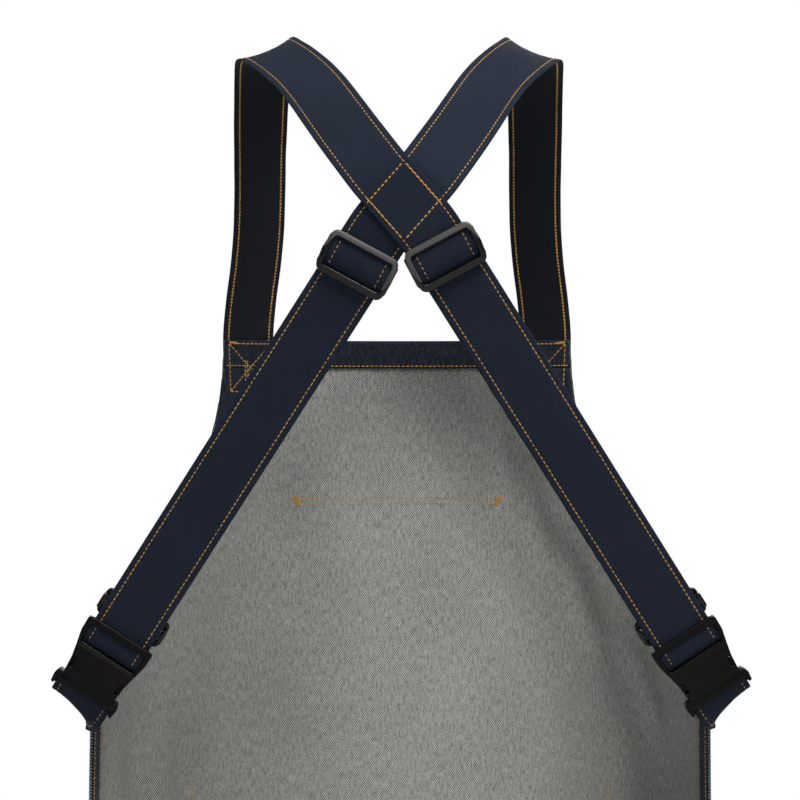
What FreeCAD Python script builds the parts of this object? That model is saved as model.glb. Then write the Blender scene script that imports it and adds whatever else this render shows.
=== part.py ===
"""Cross-back work apron with shoulder straps, strap sliders and side-release buckles.

Frame: +Z up, -Y towards the wearer's back, +X towards the wearer's right.
The origin lies midway between the tops of the two shoulder straps.
All sizes are in millimetres.
"""
import FreeCAD, Part
import math
import os
from FreeCAD import Vector

# ---- driving dimensions -------------------------------------------------------------------
# webbing
STRAP_WIDTH = 38.0
STRAP_THICK = 1.6
STRAP_GAP = 0.8            # clearance between the two straps where they cross

# cloth
CLOTH_THICK = 1.2
HEM_THICK = 1.0
PLY_GAP = 0.3              # clearance between two layers of cloth
BIB_TOP_Z = -183.0
CORNER_Z = -388.0          # where each armhole meets the side hem
APRON_LENGTH = 840.0       # bib top to bottom hem
BIB_HALF_WIDTH = 117.5
SIDE_HALF_WIDTH = 192.0    # from the centre plane to the corner under each armhole
TOP_HEM_WIDTH = 19.0
FACING_WIDTH = 22.0
SIDE_HEM_WIDTH = 16.0
BOTTOM_HEM_WIDTH = 22.0

# body sections: half width, depth, and the centre's y
CHEST = (165.0, 120.0, 0.0)
WAIST = (SIDE_HALF_WIDTH + 6.0, 243.0, -118.0)
HEM = (SIDE_HALF_WIDTH + 21.0, 240.0, -108.0)

# front pocket
POCKET_TOP_Z = -290.0
POCKET_TOP_HALF = 74.0
POCKET_HALF = 165.0
POCKET_MOUTH_DROP = 190.0
POCKET_DEPTH = 330.0

# straps
ANCHOR_LENGTH = 36.0       # strap end sewn on the bib
CREST_HALF_SPACING = 87.3  # from the centre plane to each shoulder strap's middle
CROSS_Y = -146.0
CROSS_Z = -106.0
BUCKLE_INWARD = 11.0       # buckle socket's middle, from the corner under the armhole
BUCKLE_BACKWARD = STRAP_WIDTH / 2 + 10.4
BUCKLE_ABOVE = 6.0
SPLIT_AT = 165.0           # where the lower strap piece begins, along the straight run
FRONT_CLIMB = [            # outward of the crest line, y from the bib's top, share of the climb
    (7.5, -9.0, 0.32),
    (4.5, -32.0, 0.68),
]
SHOULDER = [               # outward of the crest line, y, z, and the strap's width direction
    (2.0, 27.0, -11.0, (0.92, 0.15, 0.30)),
    (0.0, 0.0, 0.0, (0.92, 0.10, 0.38)),
    (-9.0, -34.0, -5.0, (0.88, 0.20, 0.42)),
    (-27.0, -71.0, -23.0, (0.84, 0.25, 0.48)),
    (-50.0, -119.0, -57.0, (0.80, 0.10, 0.60)),
]
ENTRY_LEAN = (0.76, 0.0, 0.65)     # width direction where it reaches the crossing
RETURN_ABOVE = 8.0         # the return layer ends this far above its slider bar

# hardware
BAR_THICK = 2.6
BAR_CLEAR = 0.35           # between a bar and the strap round it
FRONT_BAR_THICK = 2.45
RAIL_CLEAR = 0.6
JOIN_OVERLAP = 0.5         # how far fused blocks reach into each other
RAIL_WIDTH = 3.4
SLIDER_HEIGHT = 27.0
SLIDER_BAR = 4.0
SLIDER_CORNER_X = {"left": 0.5, "right": -2.4}   # slider's inner upper corner, past the centre plane
KEEPER_HEIGHT = 18.0
KEEPER_GAP = 0.9           # between the keeper and the socket's top bar

# side-release buckle, along the run from the socket's top bar
SOCKET_MIDDLE = 20.0
SOCKET_TOP_BAR = 3.0
SOCKET_BAR_AT = 11.0
SOCKET_BAR = 4.0
FOLD_ROOM = 2.05           # between the strap's fold and the shell
SHELL_LENGTH = 21.0
SHELL_FRONT = 3.6
SHELL_BACK = -5.4
CAVITY_WALL = 2.5
CAVITY_HALF = 15.0
CAVITY_FRONT = 1.4
CAVITY_BACK = -3.2
MOUTH_WALL = 2.8           # side wall at the shell's mouth
WINDOW_WALL = 5.5          # from the shell's start to its side windows
WINDOW_LENGTH = 10.5
TAPER_LEAD = 2.0           # the shell begins to narrow this far before its windows
PLUG_GAP = 0.4
PLUG_BASE = 3.4
PLUG_SIDE = 2.4
PLUG_FRONT = 2.8
PLUG_BACK = -4.6
PLUG_BAR = 3.6
TAB_ROOM = 0.45            # between the tab's fold and the plug's base
TONGUE_HALF = 4.0
TONGUE_ROOM = 4.5
PRONG_CLEAR = 0.3
PRONG_ROOT_GAP = 0.5
PRONG_SIDE_CLEAR = 0.7
PRONG_STEM = 3.0
PRONG_CATCH = 3.3
PRONG_ROOM = 3.8
PRONG_SHOULDER = 4.2       # length of the catch's slope
PRONG_TIP = (0.6, 1.8)     # bevel at the prong's tip: inward and along
PRONG_TIP_INNER = 2.0

# side tabs
TAB_JOIN = 1.0             # the tab's two layers run this far past the plug bar before they join
TAB_THICK = 2 * STRAP_THICK
TAB_SEWN_GAP = 0.8
TAB_SEWN = 27.0            # length sewn on the apron's side
TAB_EDGE = 3.0             # from the side's edge to the first stitch
TAB_DROP = STRAP_WIDTH / 2 + 1.0   # the tab's middle, below the apron's corner
TAB_SLOPE = 0.25
TAB_CLOSE = 3.0            # length over which its two layers come together
TAB_BEND = 4.5             # radius at which it turns forward, to its seam

SIDES = {"left": -1, "right": 1}
OTHER = {"left": "right", "right": "left"}
SPAN_STEPS = 4             # stations in each span of a curved strap
BEND_STEPS = 3             # stations where a side tab bends forward
TWIST_STEPS = 4            # stations where it twists to lie on the side

# ---- sizes that follow from them ------------------------------------------------------------
LAYER_GAP = BAR_THICK + 2 * BAR_CLEAR
RETURN_N = STRAP_THICK + LAYER_GAP
BAR_FRONT = STRAP_THICK / 2 + BAR_CLEAR
BAR_BACK = BAR_FRONT + BAR_THICK
RAIL_INNER = STRAP_WIDTH / 2 + RAIL_CLEAR
RAIL_OUTER = RAIL_INNER + RAIL_WIDTH
BOTTOM_Z = BIB_TOP_Z - APRON_LENGTH
SHELL_START = SOCKET_BAR_AT + SOCKET_BAR / 2 + BAR_CLEAR + STRAP_THICK + FOLD_ROOM
SHELL_END = SHELL_START + SHELL_LENGTH
SHELL_HALF = CAVITY_HALF + MOUTH_WALL
CAVITY_START = SHELL_START + CAVITY_WALL
WINDOW_START = SHELL_START + WINDOW_WALL
WINDOW_END = WINDOW_START + WINDOW_LENGTH
BASE_START = SHELL_END + PLUG_GAP
BASE_END = BASE_START + PLUG_BASE
PLUG_HALF = RAIL_INNER + PLUG_SIDE
PLUG_BAR_AT = BASE_END + TAB_ROOM + STRAP_THICK + BAR_CLEAR + PLUG_BAR / 2
TONGUE_START = CAVITY_START + TONGUE_ROOM
STEM_OUTER = CAVITY_HALF - PRONG_SIDE_CLEAR
STEM_INNER = STEM_OUTER - PRONG_STEM
KEEPER_BACK = SOCKET_TOP_BAR / 2 + KEEPER_GAP + KEEPER_HEIGHT / 2

# the crossing lies flat as far as the two straps lie on each other
HALF_STRAP = STRAP_WIDTH / 2
CROSS_ENTRY = Vector(0.768 * HALF_STRAP, CROSS_Y, CROSS_Z + 0.868 * HALF_STRAP)
RUN_START = Vector(0.7 * HALF_STRAP, CROSS_Y, CROSS_Z - 0.805 * HALF_STRAP)
SIDE_Y = WAIST[2] + WAIST[1] * math.sqrt(1 - (SIDE_HALF_WIDTH / WAIST[0]) ** 2)
RUN_END = Vector(SIDE_HALF_WIDTH - BUCKLE_INWARD, SIDE_Y - BUCKLE_BACKWARD, CORNER_Z + BUCKLE_ABOVE)
SOCKET_AT = (RUN_END - RUN_START).Length - SOCKET_MIDDLE   # socket's top bar, along the run


def mix(low, high, share):
    """Value a share of the way from low to high."""
    return low + (high - low) * share


def lerp_table(table, key):
    """Linear interpolation in a list of (key, value) that falls in key."""
    for (k0, v0), (k1, v1) in zip(table, table[1:]):
        if key >= k1:
            return mix(v0, v1, (key - k0) / (k1 - k0))
    return table[-1][1]


# ---- the cloth surface --------------------------------------------------------------------
ARMHOLE_SHAPE = [          # share of the armhole's height, share of its width
    (0.0, 0.0),
    (0.132, 0.020),
    (0.298, 0.101),
    (0.449, 0.221),
    (0.645, 0.445),
    (0.82, 0.690),
    (0.94, 0.900),
    (1.0, 1.0),
]
ARMHOLE = [
    (mix(BIB_TOP_Z, CORNER_Z, down), mix(BIB_HALF_WIDTH, SIDE_HALF_WIDTH, out)) for down, out in ARMHOLE_SHAPE
]


def section(z):
    """Half width, depth and centre of the body's curve at height z."""
    if z >= CORNER_Z:
        share = (BIB_TOP_Z - z) / (BIB_TOP_Z - CORNER_Z)
        return [mix(c, w, share) for c, w in zip(CHEST, WAIST)]
    share = (CORNER_Z - z) / (CORNER_Z - BOTTOM_Z)
    return [mix(w, h, share) for w, h in zip(WAIST, HEM)]


def angle_at(z, arc):
    """Angle from the front middle at a signed distance along the cloth."""
    half, depth, _ = section(z)
    step = math.radians(0.25)
    angle = 0.0
    walked = 0.0
    while walked < abs(arc):
        walked += step * math.hypot(half * math.cos(angle + step / 2), depth * math.sin(angle + step / 2))
        angle += step
    angle -= step * (walked - abs(arc)) / max(walked, 1.0) if walked else 0.0
    return math.copysign(angle, arc)


def arc_at(z, angle):
    """Distance along the cloth from the front middle to an angle."""
    half, depth, _ = section(z)
    steps = 200
    step = angle / steps
    middles = [step * (i + 0.5) for i in range(steps)]
    return sum(step * math.hypot(half * math.cos(m), depth * math.sin(m)) for m in middles)


def edge_arc(z):
    """Distance along the cloth from the front middle to its side edge."""
    if z >= CORNER_Z:
        return arc_at(z, math.asin(lerp_table(ARMHOLE, z) / section(z)[0]))
    return arc_at(CORNER_Z, math.asin(ARMHOLE[-1][1] / WAIST[0]))


def cloth_normal(z, arc):
    """Outward normal of the cloth."""
    half, depth, _ = section(z)
    angle = angle_at(z, arc)
    return Vector(math.sin(angle) / half, math.cos(angle) / depth, 0).normalize()


def cloth_point(z, arc, offset):
    """Point on the cloth's outer face, moved outward by offset."""
    half, depth, centre = section(z)
    angle = angle_at(z, arc)
    point = Vector(half * math.sin(angle), centre + depth * math.cos(angle), z)
    return point + cloth_normal(z, arc) * offset


def arc_edge(z, low, high, offset, count=11):
    """Smooth edge along the cloth at height z."""
    curve = Part.BSplineCurve()
    arcs = [mix(low, high, i / (count - 1)) for i in range(count)]
    curve.interpolate([cloth_point(z, arc, offset) for arc in arcs])
    return curve.toShape()


def ply(levels, limits, outer, inner, count=11):
    """Solid layer of cloth between two offsets; limits gives its low and high arc at a height."""
    wires = []
    for z in levels:
        low, high = limits(z)
        front = arc_edge(z, low, high, outer, count)
        back = arc_edge(z, low, high, inner, count)
        ends = [
            Part.makeLine(cloth_point(z, arc, outer), cloth_point(z, arc, inner)) for arc in (low, high)
        ]
        wires.append(Part.Wire([front, ends[1], back, ends[0]]))
    return Part.makeLoft(wires, True, True)


POCKET_LEVELS = [POCKET_TOP_Z, POCKET_TOP_Z - POCKET_MOUTH_DROP, POCKET_TOP_Z - POCKET_DEPTH]
SKIRT_LEVELS = [mix(CORNER_Z, BOTTOM_Z, 0.66), BOTTOM_Z]
LEVELS = sorted({z for z, _ in ARMHOLE} | set(POCKET_LEVELS) | set(SKIRT_LEVELS), reverse=True)
INNER_FACE = -CLOTH_THICK
HEM_OUT = INNER_FACE - PLY_GAP
HEM_IN = HEM_OUT - HEM_THICK


def levels_between(high, low):
    """The cloth's own levels between two heights, with both ends."""
    return [high] + [z for z in LEVELS if low < z < high] + [low]


def apron_panel():
    return ply(LEVELS, lambda z: (-edge_arc(z), edge_arc(z)), 0, INNER_FACE, 25)


def bib_top_hem():
    levels = levels_between(BIB_TOP_Z, BIB_TOP_Z - TOP_HEM_WIDTH)
    return ply(levels, lambda z: (-edge_arc(z), edge_arc(z)), HEM_OUT, HEM_IN, 15)


def armhole_facing(side):
    top = BIB_TOP_Z - TOP_HEM_WIDTH - PLY_GAP
    sign = SIDES[side]

    def limits(z):
        edge = edge_arc(z)
        return sign * (edge - FACING_WIDTH), sign * edge

    return ply(levels_between(top, CORNER_Z), limits, HEM_OUT, HEM_IN, 3)


def side_hem(side):
    sign = SIDES[side]
    edge = edge_arc(BOTTOM_Z)
    levels = levels_between(CORNER_Z - PLY_GAP, BOTTOM_Z + BOTTOM_HEM_WIDTH + PLY_GAP)
    return ply(levels, lambda z: (sign * (edge - SIDE_HEM_WIDTH), sign * edge), HEM_OUT, HEM_IN, 3)


def bottom_hem():
    edge = edge_arc(BOTTOM_Z)
    return ply([BOTTOM_Z + BOTTOM_HEM_WIDTH, BOTTOM_Z], lambda z: (-edge, edge), HEM_OUT, HEM_IN, 25)


def front_pocket():
    def limits(z):
        share = min(1.0, (POCKET_TOP_Z - z) / POCKET_MOUTH_DROP)
        reach = mix(POCKET_TOP_HALF, POCKET_HALF, share)
        return -reach, reach

    steps = 12
    mouth = [POCKET_TOP_Z - POCKET_MOUTH_DROP * i / steps for i in range(steps)]
    levels = mouth + levels_between(POCKET_TOP_Z - POCKET_MOUTH_DROP, POCKET_TOP_Z - POCKET_DEPTH)
    return ply(levels, limits, PLY_GAP + CLOTH_THICK, PLY_GAP, 17)


# ---- straps ---------------------------------------------------------------------------------
def across(direction, hint):
    """Unit vector nearest to hint at right angles to direction."""
    return (hint - direction * hint.dot(direction)).normalize()


def facing_out(solid):
    """The solid with its faces turned outward."""
    if solid.Volume < 0:
        solid.reverse()
    return solid


def band(stations):
    """Solid band through (centre, width direction, thickness direction, thickness) stations."""
    rings = []
    for centre, wide, thick_way, thick in stations:
        half_w = wide * (STRAP_WIDTH / 2)
        half_t = thick_way * (thick / 2)
        rings.append([
            centre - half_w - half_t,
            centre + half_w - half_t,
            centre + half_w + half_t,
            centre - half_w + half_t,
        ])
    faces = [Part.Face(Part.makePolygon(ring + ring[:1])) for ring in (rings[0], rings[-1])]
    for ring, following in zip(rings, rings[1:]):
        for i in range(4):
            j = (i + 1) % 4
            near = Part.makeLine(ring[i], ring[j])
            far = Part.makeLine(following[i], following[j])
            faces.append(Part.makeRuledSurface(near, far))
    shell = Part.Shell(faces)
    shell.sewShape()
    return facing_out(Part.Solid(shell))


def run_frame(side):
    """Origin, along, across and outward directions of the straight lower strap run on one side."""
    sign = SIDES[side]
    shift = -sign * (STRAP_THICK + STRAP_GAP) / 2
    start = Vector(sign * RUN_START.x, RUN_START.y + shift, RUN_START.z)
    end = Vector(sign * RUN_END.x, RUN_END.y + shift, RUN_END.z)
    along = (end - start).normalize()
    outward = across(along, Vector(0, -1, 0))
    wide = along.cross(outward).normalize()
    return start, along, wide, outward


def on_run(shape, side, distance):
    """Move a piece drawn in (wide, along, outward) axes to its place on the run."""
    start, along, wide, outward = run_frame(side)
    origin = start + along * distance
    matrix = FreeCAD.Matrix(
        wide.x, along.x, outward.x, origin.x,
        wide.y, along.y, outward.y, origin.y,
        wide.z, along.z, outward.z, origin.z,
        0, 0, 0, 1,
    )
    piece = shape.copy()
    piece.Placement = FreeCAD.Placement(matrix).multiply(shape.Placement)
    return piece


def shoulder_path(side):
    """Centres and width hints of the strap from its bib corner over the shoulder to the crossing."""
    sign = SIDES[side]
    shift = run_frame(OTHER[side])[0].y - RUN_START.y
    anchor_arc = sign * (edge_arc(BIB_TOP_Z) - STRAP_WIDTH / 2 - 1.0)
    sewn = PLY_GAP + STRAP_THICK / 2
    yaw = cloth_normal(BIB_TOP_Z, anchor_arc)
    flat = Vector(yaw.y, -yaw.x, 0) * (-sign)
    foot = cloth_point(BIB_TOP_Z - ANCHOR_LENGTH, anchor_arc, sewn)
    top = cloth_point(BIB_TOP_Z, anchor_arc, sewn)
    points = [(foot, flat), (top, flat)]
    for out, back, climb in FRONT_CLIMB:
        centre = Vector(sign * (CREST_HALF_SPACING + out), top.y + back, mix(BIB_TOP_Z, 0, climb))
        points.append((centre, flat))
    for out, y, z, lean in SHOULDER:
        near = shift if (out, y, z, lean) == SHOULDER[-1] else 0
        centre = Vector(sign * (CREST_HALF_SPACING + out), y + near, z)
        points.append((centre, Vector(-sign * lean[0], lean[1], lean[2])))
    entry = Vector(sign * CROSS_ENTRY.x, CROSS_ENTRY.y + shift, CROSS_ENTRY.z)
    points.append((entry, Vector(-sign * ENTRY_LEAN[0], ENTRY_LEAN[1], ENTRY_LEAN[2])))
    return points


def shoulder_strap(side):
    """Strap sewn at one bib corner, over the shoulder, across the other strap and down its run."""
    sign = SIDES[side]
    points = shoulder_path(side)
    start, along, wide, _ = run_frame(OTHER[side])
    foot, free = points[0][0], points[1:]
    centres = [centre for centre, _ in free]
    hints = [hint for _, hint in free]
    leave = (start - centres[-1]).normalize()
    curve = Part.BSplineCurve()
    curve.interpolate(Points=centres, InitialTangent=Vector(0, 0, 1), FinalTangent=leave)
    knots = [curve.parameter(centre) for centre in centres]
    stations = []
    for i in range(len(knots) - 1):
        for j in range(SPAN_STEPS):
            share = j / SPAN_STEPS
            at = mix(knots[i], knots[i + 1], share)
            tangent = curve.tangent(at)[0]
            lateral = across(tangent, hints[i] * (1 - share) + hints[i + 1] * share)
            stations.append((curve.value(at), lateral, tangent.cross(lateral) * sign, STRAP_THICK))
    first = stations[0]
    stations.insert(0, (foot, first[1], first[2], STRAP_THICK))
    level = across(leave, hints[-1])
    stations.append((centres[-1], level, leave.cross(level) * sign, STRAP_THICK))
    lateral = wide if wide.x * sign < 0 else wide * -1
    normal = along.cross(lateral) * sign
    for centre in (start, start + along * SPLIT_AT):
        stations.append((centre, lateral, normal, STRAP_THICK))
    return band(stations)


def strip(points, arcs_at, half=STRAP_WIDTH / 2):
    """Extrude a closed outline drawn in the (along, outward) plane across the strap's width."""
    edges = []
    for i, point in enumerate(points):
        nxt = points[(i + 1) % len(points)]
        a = Vector(-half, point[0], point[1])
        b = Vector(-half, nxt[0], nxt[1])
        if i in arcs_at:
            mid = arcs_at[i]
            edges.append(Part.Arc(a, Vector(-half, mid[0], mid[1]), b).toShape())
        else:
            edges.append(Part.makeLine(a, b))
    return facing_out(Part.Face(Part.Wire(edges)).extrude(Vector(2 * half, 0, 0)))


def fold_strip(open_front, open_back, fold_at, way):
    """U-shaped strap round a bar: both layers, joined by a half-round fold."""
    t = STRAP_THICK / 2
    inner_r = LAYER_GAP / 2
    outer_r = inner_r + STRAP_THICK
    middle = -RETURN_N / 2
    points = [
        (open_front, t),
        (fold_at, t),
        (fold_at, -RETURN_N - t),
        (open_back, -RETURN_N - t),
        (open_back, -RETURN_N + t),
        (fold_at, -RETURN_N + t),
        (fold_at, -t),
        (open_front, -t),
    ]
    arcs = {1: (fold_at + way * outer_r, middle), 5: (fold_at + way * inner_r, middle)}
    return strip(points, arcs)


def slider_at(side):
    """Distance along the run from its start to the slider's middle."""
    _, along, wide, _ = run_frame("right")
    corner = SLIDER_CORNER_X[side] + abs(wide.x) * RAIL_OUTER - RUN_START.x
    return SLIDER_HEIGHT / 2 + corner / along.x


def lower_strap(side):
    bar = SOCKET_AT + SOCKET_BAR_AT
    fold = bar + SOCKET_BAR / 2 - BAR_THICK / 2
    return on_run(fold_strip(SPLIT_AT, slider_at(side) - RETURN_ABOVE, fold, 1), side, 0)


# ---- hardware -------------------------------------------------------------------------------
def block(wide, along, outward):
    """Box from three (low, high) pairs in the run's axes."""
    size = [high - low for low, high in (wide, along, outward)]
    return Part.makeBox(*size, Vector(wide[0], along[0], outward[0]))


def round_bar(at, height, half):
    """Cross bar with rounded edges behind the front strap layer."""
    r = BAR_THICK / 2
    middle = -(BAR_FRONT + r)
    low = at - height / 2 + r
    high = at + height / 2 - r
    points = [(low, middle + r), (high, middle + r), (high, middle - r), (low, middle - r)]
    arcs = {1: (high + r, middle), 3: (low - r, middle)}
    return strip(points, arcs, half)


def rounded(shape, radius):
    """Round the outer corners that run through the piece's thickness."""
    box = shape.BoundBox
    edges = []
    for edge in shape.Edges:
        a, b = (v.Point for v in edge.Vertexes) if len(edge.Vertexes) == 2 else (None, None)
        if a is None or abs(a.z - b.z) < 1e-6 or (a - b).cross(Vector(0, 0, 1)).Length > 1e-6:
            continue
        if abs(abs(a.x) - box.XMax) < 1e-6 and (abs(a.y - box.YMin) < 1e-6 or abs(a.y - box.YMax) < 1e-6):
            edges.append(edge)
    return shape.makeFillet(radius, edges)


def tri_glide(height, corner=5.0):
    """Slider frame: outer bars in front of the strap, centre bar behind it."""
    front = BAR_FRONT + FRONT_BAR_THICK
    frame = block((-RAIL_OUTER, RAIL_OUTER), (-height / 2, height / 2), (-BAR_BACK, front))
    frame = rounded(frame, corner)
    window = block(
        (-RAIL_INNER, RAIL_INNER),
        (-height / 2 + SLIDER_BAR, height / 2 - SLIDER_BAR),
        (-BAR_BACK - 1, front + 1),
    )
    passage = block((-RAIL_INNER, RAIL_INNER), (-height, height), (-BAR_BACK - 1, BAR_FRONT))
    bar = round_bar(0, SLIDER_BAR, RAIL_INNER + RAIL_WIDTH / 2)
    return frame.cut(window).cut(passage).fuse(bar).removeSplitter()


def slider(side):
    return on_run(tri_glide(SLIDER_HEIGHT), side, slider_at(side))


def keeper(side):
    turned = tri_glide(KEEPER_HEIGHT, 4.0)
    turned.rotate(Vector(0, 0, -RETURN_N / 2), Vector(0, 1, 0), 180)
    return on_run(turned, side, SOCKET_AT - KEEPER_BACK)


def socket(side):
    front = BAR_FRONT + FRONT_BAR_THICK
    bar_half = SOCKET_TOP_BAR / 2
    top = block((-RAIL_OUTER, RAIL_OUTER), (-bar_half, bar_half), (BAR_FRONT, front))
    rails = [
        block((low, low + RAIL_WIDTH), (-bar_half, SHELL_START + JOIN_OVERLAP), (-BAR_BACK, front))
        for low in (-RAIL_OUTER, RAIL_INNER)
    ]
    bar = round_bar(SOCKET_BAR_AT, SOCKET_BAR, RAIL_INNER + RAIL_WIDTH / 2)
    shell = block((-RAIL_OUTER, RAIL_OUTER), (SHELL_START, SHELL_END), (SHELL_BACK, SHELL_FRONT))
    taper_start = WINDOW_START - TAPER_LEAD
    for sign in SIDES.values():
        corner = Part.makePolygon([
            Vector(sign * RAIL_OUTER, taper_start, SHELL_BACK - 1),
            Vector(sign * (RAIL_OUTER + 5), taper_start, SHELL_BACK - 1),
            Vector(sign * (RAIL_OUTER + 5), SHELL_END + 1, SHELL_BACK - 1),
            Vector(sign * SHELL_HALF, SHELL_END + 1, SHELL_BACK - 1),
            Vector(sign * RAIL_OUTER, taper_start, SHELL_BACK - 1),
        ])
        shell = shell.cut(Part.Face(corner).extrude(Vector(0, 0, SHELL_FRONT - SHELL_BACK + 2)))
        window = block(
            (CAVITY_HALF, RAIL_OUTER + 1) if sign > 0 else (-RAIL_OUTER - 1, -CAVITY_HALF),
            (WINDOW_START, WINDOW_END),
            (SHELL_BACK - 1, SHELL_FRONT + 1),
        )
        shell = shell.cut(window)
    cavity = block((-CAVITY_HALF, CAVITY_HALF), (CAVITY_START, SHELL_END + 1), (CAVITY_BACK, CAVITY_FRONT))
    body = shell.cut(cavity).fuse([top, bar] + rails).removeSplitter()
    return on_run(body, side, SOCKET_AT)


def plug(side):
    base = block((-PLUG_HALF, PLUG_HALF), (BASE_START, BASE_END), (PLUG_BACK, PLUG_FRONT))
    reach = (BASE_END - JOIN_OVERLAP, PLUG_BAR_AT + PLUG_BAR / 2)
    rails = [
        block((low, low + PLUG_SIDE), reach, (-BAR_BACK, BAR_FRONT)) for low in (-PLUG_HALF, RAIL_INNER)
    ]
    bar = round_bar(PLUG_BAR_AT, PLUG_BAR, RAIL_INNER + PLUG_SIDE / 2)
    tongue = block(
        (-TONGUE_HALF, TONGUE_HALF),
        (TONGUE_START, BASE_START + JOIN_OVERLAP),
        (CAVITY_BACK + PRONG_CLEAR, CAVITY_FRONT - PRONG_CLEAR),
    )
    body = base.fuse([bar, tongue] + rails).removeSplitter()
    return on_run(body, side, SOCKET_AT)


def prong(side, edge):
    """Springy arm whose shoulder catches behind the socket's side window."""
    sign = 1 if edge == "outer" else -1
    sign *= SIDES[side] * wide_sign(side)
    root = BASE_START - PRONG_ROOT_GAP
    catch = WINDOW_END - PRONG_CLEAR
    tip = CAVITY_START + PRONG_ROOM
    outline = [
        (STEM_INNER, root),
        (STEM_OUTER, root),
        (STEM_OUTER, catch),
        (STEM_OUTER + 0.6 * PRONG_CATCH, catch),
        (STEM_OUTER + PRONG_CATCH, catch - PRONG_SHOULDER),
        (STEM_OUTER + PRONG_CATCH / 3, tip + PRONG_TIP[1]),
        (STEM_OUTER - PRONG_TIP[0], tip),
        (STEM_INNER, tip + PRONG_TIP_INNER),
    ]
    back = CAVITY_BACK + PRONG_CLEAR
    corners = [Vector(sign * x, y, back) for x, y in outline]
    height = CAVITY_FRONT - PRONG_CLEAR - back
    body = Part.Face(Part.makePolygon(corners + corners[:1])).extrude(Vector(0, 0, height))
    return on_run(body, side, SOCKET_AT)


def wide_sign(side):
    """+1 where the run's wide axis points to +X."""
    return 1 if run_frame(side)[2].x > 0 else -1


def side_tab(side):
    """Short folded strap from the plug's bar round to the outside of the apron's side."""
    sign = SIDES[side]
    start, along, wide, outward = run_frame(side)
    fold = PLUG_BAR_AT - PLUG_BAR / 2 + BAR_THICK / 2
    join = PLUG_BAR_AT + PLUG_BAR / 2 + TAB_JOIN
    folded = on_run(fold_strip(join, join, fold, -1), side, SOCKET_AT)
    full = RETURN_N + STRAP_THICK
    leave = start + along * (SOCKET_AT + join) - outward * (RETURN_N / 2)
    rise = TAB_SEWN_GAP + TAB_THICK / 2
    edge = edge_arc(CORNER_Z)
    sewn = [
        cloth_point(CORNER_Z - TAB_DROP - TAB_SLOPE * reach, sign * (edge - reach), rise)
        for reach in (TAB_EDGE, TAB_EDGE + TAB_SEWN / 2, TAB_EDGE + TAB_SEWN)
    ]
    inner = wide * (-sign * wide_sign(side))
    flat = (sewn[2] - sewn[0]).normalize()
    upright = across(flat, Vector(0, 0, -1))
    forward = outward * -1
    begin = leave + along * TAB_CLOSE
    stations = [(leave, inner, forward, full), (begin, inner, forward, TAB_THICK)]
    for i in range(1, BEND_STEPS + 1):
        angle = math.pi / 2 * i / BEND_STEPS
        centre = begin + along * (TAB_BEND * math.sin(angle)) + forward * (TAB_BEND * (1 - math.cos(angle)))
        facing = forward * math.cos(angle) - along * math.sin(angle)
        stations.append((centre, inner, facing, TAB_THICK))
    bent = stations[-1][0]
    seam_facing = flat.cross(upright) * sign
    for i in range(1, TWIST_STEPS):
        share = i / TWIST_STEPS
        lateral = (inner * (1 - share) + upright * share).normalize()
        facing = across(lateral, along * (share - 1) + seam_facing * share)
        stations.append((bent * (1 - share) + sewn[0] * share, lateral, facing, TAB_THICK))
    stations += [(centre, upright, seam_facing, TAB_THICK) for centre in sewn]
    stations = [(centre, lateral, facing * sign, thick) for centre, lateral, facing, thick in stations]
    return folded.fuse(band(stations)).removeSplitter()


# ---- all pieces -----------------------------------------------------------------------------
def build():
    pieces = {
        "apron_panel": apron_panel(),
        "bib_top_hem": bib_top_hem(),
        "bottom_hem": bottom_hem(),
        "front_pocket": front_pocket(),
    }
    for side in SIDES:
        pieces[f"armhole_facing_{side}"] = armhole_facing(side)
        pieces[f"side_hem_{side}"] = side_hem(side)
        pieces[f"shoulder_strap_{side}"] = shoulder_strap(side)
        pieces[f"lower_strap_{side}"] = lower_strap(side)
        pieces[f"strap_slider_{side}"] = slider(side)
        pieces[f"keeper_slider_{side}"] = keeper(side)
        pieces[f"buckle_socket_{side}"] = socket(side)
        pieces[f"buckle_plug_{side}"] = plug(side)
        for edge in ("inner", "outer"):
            pieces[f"buckle_prong_{side}_{edge}"] = prong(side, edge)
        pieces[f"side_tab_{side}"] = side_tab(side)
    return pieces


os.makedirs("parts", exist_ok=True)
for node, shape in build().items():
    if shape.ShapeType != "Solid" and len(shape.Solids) == 1:
        shape = shape.Solids[0]
    print(node, "valid", shape.isValid(), "solids", len(shape.Solids), "volume", round(shape.Volume))
    shape.exportStep(f"parts/{node}.step")
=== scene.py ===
"""Looks of the cross-back apron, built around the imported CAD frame. Lengths are in metres."""

import math

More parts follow.
